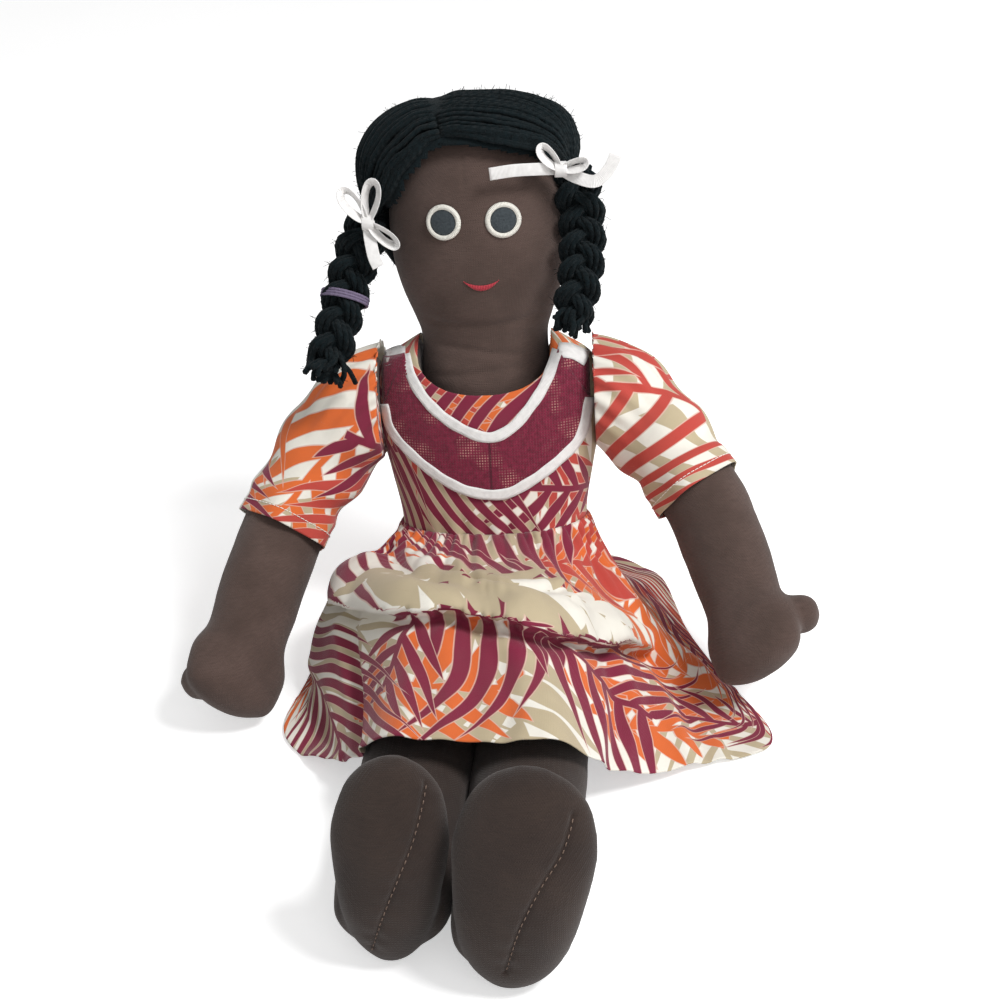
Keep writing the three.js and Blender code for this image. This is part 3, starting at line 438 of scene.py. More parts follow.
def weave(tree, where, pitch, deep):
    """The height of a plain weave, from the three ways through the cloth."""
    drift = tree.noise(where, 90.0, 1.0, 0.5, 1)
    bent = tree.vector("ADD", where, tree.vector("MULTIPLY", drift, (0.0008, 0.0008, 0.0008)))
    sx, sy, sz = (tree.math("SINE", v * (math.pi / pitch)) for v in tree.parts(bent))
    return (sx * sz + sy * (sx + sz)) * deep


def skin_build(dark, light):
    def build(tree):
        where = tree.coords()
        cloud = tree.noise(where, 38.0, 3.0)
        slub = tree.noise(tree.vector("MULTIPLY", where, (260.0, 260.0, 2200.0)), 1.0, 1.0)
        hue = tree.mix(tree.span(cloud, 0.3, 0.7), colour(*dark), colour(*light))
        hue = tree.mix(tree.span(slub, 0.35, 0.75, 0.0, 0.45), hue, colour(*(0.9 * c for c in dark)))
        return hue, weave(tree, where, 0.0006, 0.00004) + slub * 0.00002
    return build


skin = material("skin", skin_build((70, 55, 49), (88, 71, 65)), 0.92, 0.12, 0.6, 0.2)
# The legs take a darker copy of the same skin cloth: painted shade, for legs that lie low and in shade.
leg_skin_painted_shade = material("leg_skin_painted_shade", skin_build((42, 32, 28), (55, 43, 37)), 0.92, 0.12, 0.6, 0.2)


def yarn_build(tree):
    u, v, _ = tree.parts(tree.coords("UV"))
    ply = tree.math("SINE", u * (math.tau / 0.0042) + v * (math.tau * 2))
    fuzz = tree.noise(tree.coords(), 1700.0, 3.0, 0.7)
    big = tree.noise(tree.coords(), 240.0, 2.0)
    hue = tree.mix(tree.span(fuzz, 0.35, 0.7), colour(7, 13, 15), colour(25, 34, 37))
    hue = tree.mix(tree.span(big, 0.4, 0.7, 0.0, 0.5), hue, colour(12, 26, 30))
    return hue, ply * 0.00022 + fuzz * 0.0006


yarn = material("yarn", yarn_build, 0.95, 0.03, 0.6, 0.08)


def ribbon_build(tree):
    rib = tree.math("SINE", tree.parts(tree.coords("UV"))[0] * (math.tau / 0.00062))
    soft = tree.noise(tree.coords(), 300.0, 2.0)
    return tree.mix(tree.span(soft, 0.3, 0.7), colour(226, 224, 222), colour(240, 238, 236)), rib * 0.00007


ribbon = material("ribbon", ribbon_build, 0.7, 0.2, 0.4, 0.4)


def flat_build(dark, light, scale, deep):
    def build(tree):
        fuzz = tree.noise(tree.coords(), scale, 3.0, 0.6)
        return tree.mix(tree.span(fuzz, 0.3, 0.7), colour(*dark), colour(*light)), fuzz * deep
    return build


thread_white = material("thread_white", flat_build((225, 222, 214), (244, 242, 236), 1500.0, 0.0001), 0.8)
thread_brown = material("thread_brown", flat_build((100, 82, 72), (128, 108, 96), 1500.0, 0.0001), 0.85)
band_purple = material("band_purple", flat_build((92, 82, 104), (126, 114, 138), 1200.0, 0.0001), 0.8)
felt_grey = material("felt_grey", flat_build((44, 50, 54), (62, 69, 73), 900.0, 0.0003), 0.95, 0.2)
felt_black = material("felt_black", flat_build((14, 15, 17), (24, 26, 28), 900.0, 0.0003), 0.95)
plastic_white = material("plastic_white", flat_build((226, 223, 214), (238, 236, 229), 200.0, 0.00002), 0.35,
                         0.0, 0.5, 0.5)


def satin_build(dark, light, pitch, deep):
    def build(tree):
        wave = tree.math("SINE", tree.parts(tree.coords("UV"))[0] * (math.tau / pitch))
        fuzz = tree.noise(tree.coords(), 1400.0, 2.0)
        # Each stitch is lighter on its crest and darker in the groove between stitches, following the same wave
        # as its height: painted highlight and shade.
        return tree.mix(wave * 0.5 + 0.5, colour(*dark), colour(*light)), wave * deep + fuzz * deep
    return build


satin_white = material("satin_white", satin_build((214, 210, 198), (240, 238, 230), 0.0007, 0.0001), 0.6, 0.2)
satin_red = material("satin_red", satin_build((150, 34, 48), (190, 56, 68), 0.0008, 0.00012), 0.55, 0.2)


def frond_group():
    """A palm frond of the print: a rib with leaflets at both sides. Inside is the depth under its edge, and
    the inputs are those of the rows below."""
    group = bpy.data.node_groups.new("frond", "ShaderNodeTree")
    kinds = dict.fromkeys(("Where", "Centre"), "Vector") | dict.fromkeys(
        ("Turn", "Long", "Wide", "Bend", "Pitch", "Slant", "Fill"), "Float")
    for name, kind in kinds.items():
        group.interface.new_socket(name, in_out="INPUT", socket_type="NodeSocket" + kind)
    group.interface.new_socket("Inside", in_out="OUTPUT", socket_type="NodeSocketFloat")
    t = Tree(group)
    m = t.math
    given = group.nodes.new("NodeGroupInput").outputs
    where, centre, turn, long, wide, bend, pitch, slant, fill = (Wire(t, given[name]) for name in kinds)
    local = t.vector("WRAP", t.vector("SUBTRACT", where, centre), (0.24, 0.24, 1.0), (-0.24, -0.24, -1.0))
    local = t.add("ShaderNodeVectorRotate", {"Vector": local, "Angle": turn}, rotation_type="Z_AXIS")
    x, y, _ = t.parts(local)
    y = y - bend * (x * x)
    far, above = m("ABSOLUTE", y), m("GREATER_THAN", y, 0.0)
    half_step = above * 0.5
    count = (x - (far * slant + far * far * 7.0)) / pitch + half_step
    within = m("ABSOLUTE", m("FRACT", count) - 0.5)
    number = m("FLOOR", count) + above * 37.0 + long * 900.0
    chance = t.add("ShaderNodeTexWhiteNoise", {"W": number}, noise_dimensions="1D")
    share = (m("FLOOR", count) + 0.5 - half_step) * pitch / long
    swell = m("POWER", m("MAXIMUM", 1.0 - share * share, 0.0), 0.5)
    reach = wide * swell * (chance * 0.4 + 0.75)
    out = m("MINIMUM", far / m("MAXIMUM", reach, 0.00001), 3.0)
    waist = m("MINIMUM", out * 3.0, 1.0) * 0.5 + 0.5
    half = (1.0 - m("POWER", out, 2.6)) * waist * (chance * 0.07 + fill)
    leaflet = (half - within) * (pitch * 0.7)
    rib = m("MINIMUM", 0.0017 - far, long - m("ABSOLUTE", x))
    t.put(group.nodes.new("NodeGroupOutput").inputs["Inside"], m("MAXIMUM", leaflet, rib))
    return group


frond = frond_group()
BEIGE, ORANGE, RUST, BURGUNDY = (186, 171, 141), (217, 103, 44), (184, 66, 56), (122, 24, 55)
OFF_WHITE, EDGE = (234, 230, 219), (216, 178, 164)
# Each: colour, middle across and down in metres, heading in degrees from across to down, half length,
# leaflet length, bend, pitch, slant and the share of the pitch that half a leaflet fills, if not the usual
USUAL_FILL = 0.34
SKIRT_FRONDS = [
    (BEIGE, 0.015, 0.028, 80, 0.06, 0.07, 1, 0.022, 0.6, 0.47),
    (BEIGE, 0, 0.15, 75, 0.05, 0.055, 1, 0.022, 0.8, 0.46),
    (BEIGE, -0.065, 0.135, 60, 0.05, 0.05, 1, 0.017, 1, 0.24),
    (BEIGE, 0.12, 0.13, 70, 0.06, 0.05, 1.5, 0.017, 1, 0.24),
    (BEIGE, -0.15, 0.08, 60, 0.1, 0.06, 1, 0.02, 1, 0.36),
    (BEIGE, 0.205, 0.09, 60, 0.09, 0.06, 1.5, 0.02, 1, 0.4),
    (ORANGE, -0.05, 0.146, -5, 0.052, 0.048, 0, 0.02, 0.5, 0.34),
    (ORANGE, 0.1, 0.106, -20, 0.06, 0.055, 1, 0.02, 0.7, 0.33),
    (ORANGE, 0.052, 0.12, 20, 0.05, 0.032, 1, 0.016, 0.9, 0.33),
    (ORANGE, 0.09, 0.154, 5, 0.045, 0.022, 0, 0.016, 0.8, 0.33),
    (ORANGE, 0.078, 0.045, 15, 0.05, 0.045, 0, 0.014, 0.6, 0.29),
    (ORANGE, -0.075, 0.012, -20, 0.04, 0.03, 2, 0.015, 0.8, 0.3),
    (ORANGE, 0.05, 0.012, 60, 0.045, 0.042, 1, 0.015, 0.8, 0.32),
    (ORANGE, 0.215, 0.06, 110, 0.08, 0.05, 2, 0.017, 1, 0.32),
    (ORANGE, -0.205, 0.15, 100, 0.07, 0.05, 2, 0.017, 1, 0.32),
    (RUST, 0.06, 0.02, -12, 0.045, 0.034, 1, 0.013, 0.7, 0.31),
    (RUST, 0.185, 0.13, 60, 0.07, 0.05, -2, 0.016, 1.1, 0.31),
    (RUST, -0.205, 0.04, 120, 0.08, 0.05, -2, 0.016, 1.1, 0.31),
    (BURGUNDY, 0.006, -0.014, 0, 0.046, 0.092, 0, 0.0125, -0.25, 0.3),
    (BURGUNDY, -0.092, 0, 0, 0.052, 0.078, 0, 0.013, -0.1, 0.31),
    (BURGUNDY, 0, 0.095, 180, 0.036, 0.094, 0, 0.013, -0.2, 0.3),
    (BEIGE, -0.018, 0.066, 8, 0.062, 0.03, 0, 0.02, 0.8, 0.6),
    (OFF_WHITE, 0.044, 0.072, 14, 0.034, 0.019, 0, 0.02, 0.8, 0.6),
    (BURGUNDY, 0.051, 0.121, 30, 0.05, 0.066, 0.5, 0.014, 0.6, 0.32),
    (BURGUNDY, -0.052, 0.122, 115, 0.028, 0.04, 0, 0.013, 0.8, 0.33),
    (BURGUNDY, -0.14, 0.11, 66, 0.085, 0.075, 1, 0.015, 1, 0.33),
    (BURGUNDY, 0.142, 0.146, 200, 0.032, 0.028, 0, 0.014, 1, 0.22),
    (BURGUNDY, 0.225, 0.11, 120, 0.075, 0.05, 1, 0.015, 0.9, 0.3)]
BODICE_FRONDS = [
    (OFF_WHITE, 0.04, -0.05, 100, 0.08, 0.045, 2, 0.026, 1),
    (ORANGE, 0, -0.076, 80, 0.034, 0.034, 2, 0.016, 1),
    (RUST, 0.06, -0.01, 60, 0.07, 0.045, 2, 0.015, 1, 0.31),
    (ORANGE, 0.048, -0.105, 120, 0.055, 0.04, 2, 0.016, 1),
    (RUST, -0.052, -0.095, 70, 0.055, 0.04, -2, 0.015, 1, 0.31),
    (BURGUNDY, 0.046, -0.022, 188, 0.042, 0.034, 0, 0.015, 0.9, 0.31),
    (BURGUNDY, -0.034, -0.045, 0, 0.046, 0.08, 2, 0.0125, 0.5, 0.3),
    (BURGUNDY, -0.074, -0.04, 96, 0.07, 0.045, 2, 0.014, 1, 0.3),
    (OFF_WHITE, 0.25, -0.05, 80, 0.08, 0.045, 2, 0.026, 1),
    (ORANGE, 0.205, -0.07, 60, 0.07, 0.05, 2, 0.017, 1),
    (RUST, 0.28, -0.03, 120, 0.06, 0.05, -2, 0.015, 1, 0.31),
    (BURGUNDY, 0.236, -0.05, 74, 0.085, 0.06, -2, 0.0145, 0.8, 0.31)]
RIGHT_SLEEVE_FRONDS = [
    (BEIGE, 0, 0.078, 5, 0.09, 0.03, 0.5, 0.022, 0.8),
    (ORANGE, 0, 0.02, 96, 0.09, 0.06, 1.5, 0.019, 0.8, 0.31),
    (RUST, 0.034, 0.05, 118, 0.06, 0.04, -2.5, 0.015, 1, 0.3),
    (BURGUNDY, 0.04, 0.018, 160, 0.044, 0.03, 2, 0.015, 1.1, 0.3),
    (ORANGE, -0.07, 0.03, 80, 0.08, 0.05, 2, 0.019, 1, 0.31),
    (BURGUNDY, -0.062, 0.062, 60, 0.05, 0.036, 0, 0.015, 1, 0.3),
    (ORANGE, 0.072, 0.06, 100, 0.05, 0.036, 1.5, 0.018, 0.8, 0.31)]
LEFT_SLEEVE_FRONDS = [
    (OFF_WHITE, 0, 0.03, 20, 0.09, 0.06, 1, 0.03, 0.8),
    (RUST, 0.046, 0.058, 230, 0.1, 0.11, -1.2, 0.0185, 0.7, 0.23),
    (RUST, 0.05, 0.004, 16, 0.07, 0.05, 2, 0.017, 0.9, 0.24),
    (BURGUNDY, -0.03, -0.008, 60, 0.026, 0.022, 2, 0.014, 1, 0.26),
    (RUST, -0.058, 0.05, 96, 0.07, 0.04, 0, 0.018, 0.8, 0.25)]


def print_build(ground, fronds):
    def build(tree):
        where = tree.coords("UV")
        drift = tree.vector("SUBTRACT", tree.noise(where, 16.0, 1.0, 0.5, 1), (0.5, 0.5, 0.5))
        where = tree.vector("ADD", where, tree.vector("MULTIPLY", drift, (0.009, 0.009, 0.0)))
        hue = colour(*ground)
        for shade, x, y, heading, long, wide, bend, pitch, slant, *fill in fronds:
            values = {"Where": where, "Centre": (x, y, 0.0), "Turn": math.radians(-heading), "Long": long,
                      "Wide": wide, "Bend": bend, "Pitch": pitch, "Slant": slant,
                      "Fill": fill[0] if fill else USUAL_FILL}
            inside = tree.add("ShaderNodeGroup", values, node_tree=frond)
            if shade not in (BEIGE, OFF_WHITE):
                hue = tree.mix(tree.span(inside, -0.00055, -0.0003, 0.0, 0.8), hue, colour(*EDGE))
            hue = tree.mix(tree.span(inside, -0.0001, 0.0002), hue, colour(*shade))
        worn = tree.noise(tree.coords(), 60.0, 3.0)
        hue = tree.mix(tree.span(worn, 0.3, 0.8, 0.0, 0.14), hue, colour(96, 80, 72))
        return hue, weave(tree, tree.coords(), 0.0003, 0.00002)
    return build


skirt_print = material("skirt_print", print_build(OFF_WHITE, SKIRT_FRONDS), 0.8, 0.15, 0.5, 0.3)
bodice_print = material("bodice_print", print_build(BEIGE, BODICE_FRONDS), 0.8, 0.15, 0.5, 0.3)
sleeve_prints = {side: material(f"{side}_sleeve_print", print_build(ground, fronds), 0.8, 0.15, 0.5, 0.3)
                 for side, ground, fronds in (("right", OFF_WHITE, RIGHT_SLEEVE_FRONDS),
                                              ("left", BEIGE, LEFT_SLEEVE_FRONDS))}
MESH_PITCH = 0.0014


def mesh_build(tree):
    where = tree.coords("UV")
    x, y, _ = tree.parts(where)
    fx, fy = (tree.math("ABSOLUTE", tree.math("FRACT", v / MESH_PITCH) - 0.5) for v in (x, y))
    hole = tree.span(tree.math("MAXIMUM", fx, fy), 0.30, 0.22)
    patch = tree.span(tree.noise(where, 62.0, 1.0), 0.52, 0.6)
    bands = tree.span(tree.math("SINE", (x - y) * 520.0), -0.2, 0.3)
    seen = hole * patch * (bands * 0.6 + 0.4)
    seam = tree.span(tree.math("ABSOLUTE", x - 0.0015), 0.0008, 0.0003)
    soft = tree.noise(tree.coords(), 500.0, 2.0)
    hue = tree.mix(tree.span(soft, 0.3, 0.7), colour(94, 17, 40), colour(126, 30, 58))
    for share, shade in ((hole * 0.3, (90, 12, 38)), (seen * 0.7, (205, 150, 138)),
                         (seam * 0.7, (70, 8, 30))):
        hue = tree.mix(share, hue, colour(*shade))
    return hue, (1.0 - hole) * 0.00022 - seam * 0.0005


open_mesh = material("open_mesh", mesh_build, 0.8, 0.2, 0.5, 0.3)

# The forms of the stuffed pieces. A row of shares holds the share of the length, and the shares of the half
# width and the half depth there.
TORSO_LONG, TORSO_WIDE, TORSO_DEEP = 166, 57, 32
NOD_UP, SADDLE, NECK_LONG, NECK_WIDE, NECK_DEEP = 141, 27, 32, 33, 24.5
CHIN_UP = NOD_UP + NECK_LONG
HEAD_LONG, HEAD_WIDE, HEAD_DEEP = 106, 46, 36
torso_spine = Line([(0, 4, -3), lean(0, -17 / 3, TORSO_LONG * 0.12), lean(0, 0, TORSO_LONG * 0.27),
                    lean(0, 0, TORSO_LONG * 0.6), lean(0, 0, TORSO_LONG)])
torso_shares = [[0, 0.62, 0.72], [0.07, 0.84, 0.9], [0.22, 0.95, 1], [0.38, 0.82, 0.97], [0.56, 0.9, 0.97],
                [0.72, 1, 0.9], [0.83, 1.02, 0.82], [0.9, 0.93, 0.76], [0.955, 0.7, 0.68], [1, 0.46, 0.56]]
torso_rows = Line(torso_shares).points(np.linspace(0, 1, 400))
torso_middle = torso_spine.at(np.clip(torso_rows[:, 0], 0, 1))
_, torso_f, torso_u = from_lean(torso_middle)
HEAD_SHARES = [(0.16, 0.9, 0.9), (0.32, 0.985, 0.98), (0.48, 1, 1), (0.63, 0.975, 0.975),
               (0.77, 0.885, 0.895), (0.87, 0.745, 0.765), (0.94, 0.56, 0.58), (0.98, 0.36, 0.38)]


def girth(up):
    """The torso's half width, half depth and middle at a height along it."""
    return (np.interp(up, torso_u, torso_rows[:, 1] * TORSO_WIDE),
            np.interp(up, torso_u, torso_rows[:, 2] * TORSO_DEEP), np.interp(up, torso_u, torso_f))


def head_rings():
    """The head and its neck in one form."""
    bottom, top = NOD_UP - SADDLE, CHIN_UP + HEAD_LONG
    rows = [(0, 1, 1), (SADDLE, 1.02, 1), (SADDLE + NECK_LONG * 0.7, 1, 1.02),
            (SADDLE + NECK_LONG, 1.08, 1.14)]
    rows = [(up / (top - bottom), NECK_WIDE / HEAD_WIDE * a, NECK_DEEP / HEAD_DEEP * b) for up, a, b in rows]
    rows += [((SADDLE + NECK_LONG + s * HEAD_LONG) / (top - bottom), a, b) for s, a, b in HEAD_SHARES]
    return rings_of(Line([lean(0, 0, up) for up in (bottom, (bottom + top) / 2, top)]), X_WAY,
                    rows + [(1, 0.14, 0.15)], HEAD_WIDE, HEAD_DEEP, 90, 72)


SIDES = {"right": -1, "left": 1}
SHOULDER_OUT = 56
shoulder = lean(0, 0, TORSO_LONG - 36)
# Each hand's end: how far out, forward and up. Each thumb's way: out, forward and up.
HANDS = {"right": (131, 119, 19.2), "left": (134.9, 114, 30.2)}
THUMBS = {"right": (0.74, -0.62, -0.26), "left": (0.96, -0.2, 0.2)}


def arm_spine(side):
    way, (out, forward, up) = SIDES[side], HANDS[side]
    rows = [(-0.22, -0.02, -0.07), (0.08, 0.02, 0), (0.38, 0.1, 0.2), (0.66, 0.26, 0.45),
            (0.86, 0.56, 0.74), (1, 1, 1)]
    return Line([(way * (SHOULDER_OUT + (out - SHOULDER_OUT) * o), shoulder[1] - (forward + shoulder[1]) * f,
                  shoulder[2] - (shoulder[2] - up) * d) for o, f, d in rows])


ARM_WIDE, ARM_DEEP, THUMB_ROUND = 22, 18, 9.5
ARM_SHARES = [[0, 0.8, 0.84], [0.16, 0.9, 1], [0.3, 0.96, 1.02], [0.52, 1, 1.02], [0.7, 1, 0.96],
              [0.8, 0.96, 0.86], [0.88, 1.2, 0.8], [0.95, 1.12, 0.7], [0.985, 0.78, 0.5], [1, 0.34, 0.22]]
LEG_APART, LEG_LONG, LEG_WIDE, LEG_DEEP = 27, 272, 26.7, 21.5
FOOT_LONG, FOOT_WIDE, FOOT_THICK = 97, 25, 15
LEG_SHARES = [[0, 0.7, 0.06], [0.01, 0.76, 0.186], [0.024, 0.8, 0.2326], [0.1, 0.9, 0.56], [0.2, 0.98, 0.86],
              [0.35, 1, 1], [0.62, 1, 1], [0.82, 0.98, 0.98], [0.95, 0.95, 0.93], [1, 0.7, 0.66]]
FOOT_SHARES = [[0, 0.16, 0.3], [0.05, 0.4, 0.62], [0.2, 0.72, 0.98], [0.42, 0.9, 1.04], [0.66, 1, 1],
               [0.84, 0.86, 0.84], [0.94, 0.6, 0.6], [1, 0.2, 0.2]]
THUMB_SHARES = [[0, 0.9, 0.9], [0.4, 1, 1], [0.75, 1, 1], [0.93, 0.7, 0.7], [1, 0.25, 0.25]]
# Shares: how far across the hip, ankle, heel and toe are, the foot's length and width, and the leg's length
FEET_SHARES = {"right": (-1, -1.14, -1.2, -0.94, 0.92, 0.97, 1.04),
               "left": (1, 0.74, 0.66, 1.2, 0.97, 1.16, 1.1)}


def remeshed(obj, voxel, smoothing, cloth):
    """One closed skin over what overlaps."""
    modified(obj, "REMESH", mode="VOXEL", voxel_size=voxel * MM, use_smooth_shade=True)
    modified(obj, "SMOOTH", iterations=smoothing, factor=0.5)
    obj.data.materials.clear()
    obj.data.materials.append(cloth)
    return obj


def stuffed(name, forms, shape, voxel, smoothing, cloth):
    """A stuffed skin: its forms joined, pressed as shape says, rounded and made finer."""
    points, faces, _ = merged([(*closed_rings(f), []) for f in forms])
    obj = remeshed(outward(make(name, shape(points), faces, cloth)), voxel, smoothing, cloth)
    return modified(obj, "SUBSURF", levels=1, render_levels=1)


def kept_out(points, way, least):
    """No point of this side is nearer to the middle than least."""
    points[..., 0] = way * np.maximum(points[..., 0] * way, least)
    return points


def floored(points, least):
    points[..., 2] = np.maximum(points[..., 2], least)
    return points


def trail(tree, pixels, count=120):
    """Points on a surface under a line of the photograph's pixels, with their normals."""
    found = [tree.ray_cast(*sight(x, y))[:2] for x, y in Line(pixels).at(np.linspace(0, 1, count))]
    return [np.array([f[i] for f in found if f[0] is not None]) for i in (0, 1)]


def crease(points, line, deep, wide):
    """How far each point sinks for a crease along a line, its place along it and its gap to it."""
    tree = kd_of(line)
    index, gap = (np.array(part) for part in zip(*(tree.find(p)[1:] for p in points)))
    return deep * bell(gap, wide), travelled(line)[index], gap


def add_tubes(name, paths, radius, material_):
    points, faces, uvs = tubes(paths, [radius] * len(paths))
    return outward(make(name, points, faces, material_, uvs))


def join(target, *others):
    """The other objects become part of the target, with their own materials."""
    cloths = target.data.materials
    for other in others:
        for cloth in other.data.materials:
            if cloth.name not in cloths:
                cloths.append(cloth)
        index = [cloths.find(cloth.name) for cloth in other.data.materials]
        form = bmesh.new()
        form.from_mesh(target.data)
        before = len(form.faces)
        form.from_mesh(other.data)
        form.faces.ensure_lookup_table()
        for face in form.faces[before:]:
            face.material_index = index[min(face.material_index, len(index) - 1)]
        form.to_mesh(target.data)
        form.free()
        bpy.data.objects.remove(other)
    return target


def sewn(obj, line, normal, long, gap, lift, radius, thread):
    """Short stitches along a line on a piece's surface become part of the piece."""
    far = travelled(line)
    paths, at = [], gap
    while at + long < far[-1]:
        s = np.linspace(at, at + long, 5)
        p, n = (np.stack([np.interp(s, far, part[:, i]) for i in range(3)], -1) for part in (line, normal))
        arch = np.array([-0.2, 0.6, 1, 0.6, -0.2])[:, None] * lift
        paths.append(p + unit(n) * (arch + radius * 0.3))
        at += long + gap
    join(obj, add_tubes("stitch", paths, radius, thread))


def placed(obj, body, node):
    """The object moves with a body and stands for a node of the solids."""
    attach(obj, body)
    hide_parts(node)
    return obj


# The torso keeps the solid's shape, with its saddle for the neck and its space at the hips
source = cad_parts["torso"].data
torso = make("torso_skin", [v.co / MM for v in source.vertices],
             [tuple(p.vertices) for p in source.polygons], skin)
placed(remeshed(torso, 2.2, 3, skin), "torso", "torso")


def head_press(points):
    """The neck's end is round, as the saddle that it nods in."""
    across, forward, up = from_lean(points)
    far = np.hypot(forward, up - NOD_UP)
    share = np.where((up < NOD_UP) & (far > 26), 26 / np.maximum(far, 1e-6), 1)
    return lean(across, forward * share, NOD_UP + (up - NOD_UP) * share)


head = stuffed("head_skin", [head_rings()], head_press, 1.8, 4, skin)


def head_details():
    points, ways = places(head), places(head, "normal")
    across, forward, up = from_lean(points)
    chin = bell(up - 171.5 - 0.0035 * across ** 2, 2.6) * 1.1 * smoothstep(34 - abs(across), 0, 12)
    folds = bell(up - 158 + across * 0.16, 2.0) * 0.8 + bell(up - 147 - across * 0.10, 2.2) * 0.7
    neck = folds * smoothstep(32 - abs(across), 0, 14)
    seam = bell(across + 4, 0.8) * 0.35 * smoothstep(up, 236, 246) * smoothstep(272 - up, 0, 8)
    soft = lumps(points, 26, 3) * 0.5 + lumps(points, 9, 5) * 0.12
    set_places(head, points + ways * (soft - smoothstep(forward, 2, 14) * (chin + neck + seam))[:, None])


head_details()
placed(head, "head", "head")
head_tree = tree_of(head)


def arm(side):
    way, spine = SIDES[side], arm_spine(side)
    palm = spine.at(0.84)[0]
    aside, forward, upward = THUMBS[side]
    point = unit(np.array([way * aside, forward, upward]))
    forms = [rings_of(spine, np.array([way, 0, 1.0]), ARM_SHARES, ARM_WIDE, ARM_DEEP, 70, 48),
             rings_of(Line([palm + point * far for far in (4.75, 20, 35.42)]), np.array([0, 1.0, 1.0]),
                      THUMB_SHARES, THUMB_ROUND, THUMB_ROUND, 24, 28)]
    obj = stuffed(f"arm_{side}_skin", forms, lambda points: kept_out(points, way, SHOULDER_OUT), 1.8, 6, skin)
    points, ways = places(obj), places(obj, "normal")
    soft = lumps(points, 22, 7 + way) * 0.7 + lumps(points, 8, 9) * 0.15
    set_places(obj, points + ways * (soft * smoothstep(abs(points[:, 0]), 57, 64))[:, None])
    placed(obj, f"arm_{side}", f"arm_{side}")


# The seam up each sole, in the photograph's pixels
SOLE_SEAMS = {"right": [(427, 782), (422, 808), (412, 845), (398, 880), (380, 925), (372, 950)],
              "left": [(574, 815), (570, 832), (562, 855), (543, 885), (520, 930), (505, 975)]}


def leg(side):
    hip, ankle, heel, toe, long, wide, reach = FEET_SHARES[side]
    hip, far = LEG_APART * hip, LEG_LONG * reach
    spine = Line([(hip, -30, 22), (hip, -56.5, 22),
                  (hip * 0.6 + LEG_APART * ankle * 0.4, (7.5 - far) / 2, 21), (LEG_APART * ankle, 7.5 - far, 21)])
    sole = Line([(LEG_APART * heel, 15 - far, -1.5), (LEG_APART * (heel * 0.6 + toe * 0.4), 10.5 - far, 38.8),
                 (LEG_APART * toe, 29 - far, FOOT_LONG * long)])
    forms = [rings_of(spine, X_WAY, LEG_SHARES, LEG_WIDE, LEG_DEEP, 80, 48),
             rings_of(sole, X_WAY, FOOT_SHARES, FOOT_WIDE * wide, FOOT_THICK, 60, 48)]
    obj = stuffed(f"leg_{side}_skin", forms, lambda points: floored(points, 0.3), 1.6, 6, leg_skin_painted_shade)
    line, _ = trail(tree_of(obj), SOLE_SEAMS[side])
    points, ways = places(obj), places(obj, "normal")
    sink, along, gap = crease(points, line, 1.1, 1.3)
    pucker = np.sin(along / 1.5) * bell(gap, 5.0) * 0.28 * smoothstep(gap, 0.3, 1.6)
    keep = smoothstep(-points[:, 1], 45, 80) * smoothstep(points[:, 2], 0.5, 5)
    soft = lumps(points, 24, 11 + hip) * 0.7 + lumps(points, 9, 13) * 0.15
    move = soft * keep - sink - 0.9 * bell(gap, 6.0) + pucker
    set_places(obj, floored(points + ways * move[:, None], 0.1))
    sewn(obj, *trail(tree_of(obj), SOLE_SEAMS[side]), 1.5, 1.6, 0.35, 0.24, thread_brown)
    placed(obj, f"leg_{side}", f"leg_{side}")


for side in SIDES:
    arm(side)
for side in SIDES:
    leg(side)

# The dress
NECK_HALF, NECK_LOW, NECK_BACK_LOW, WAIST_UP = 34.4, 136, 138, 62
BODICE_EASE = 2.1
PRINT_BACK = 0.24
TRIM_WIDE = 5.6
SLEEVE_WIDE, SLEEVE_DEEP, SLEEVE_PUFF = 24.5, 23, 2.5
# The share of the arm that each sleeve covers, and the width of print on a sleeve in metres
SLEEVE_SHARES, SLEEVE_ROUND = {"right": 0.51, "left": 0.47}, 0.155


def ripple(across, up):
    """How far the bodice's cloth stands off its smooth form."""
    low = smoothstep(100 - up, 0, 36)
    fine = 0.9 * np.sin(across * 0.55 + 0.7 * np.sin(up * 0.09)) * smoothstep(80 - up, 0, 16)
    drag = 1.5 * np.sin((across * 0.9 + up) * 0.16) * low * smoothstep(abs(across), 10, 42)
    return fine + drag


def chest(across, up, grow, back_side=False):
    wide, deep, middle = girth(up)
    inside = np.maximum(1 - (across / (wide + grow)) ** 2, 0)
    forward = (deep + grow) * np.sqrt(inside)
    if back_side:
        return lean(across, middle - forward, up)
    return lean(across, middle + forward + ripple(across, up) * inside, up)


def neck_edge(across, low):
    """The height of the neckline's edge, from the same two bent lines as the solid's."""
    t = np.linspace(0, 1, 60)
    a, b, c, d = (1 - t) ** 3, 3 * (1 - t) ** 2 * t, 3 * (1 - t) * t * t, t ** 3
    x = NECK_HALF * (b * 0.6 + c + d)
    y = low * (a + b) + c * (low + NECK_HALF * 0.2) + d * (low + NECK_HALF * 0.62)
    return np.interp(abs(across), x, y, right=1e3)


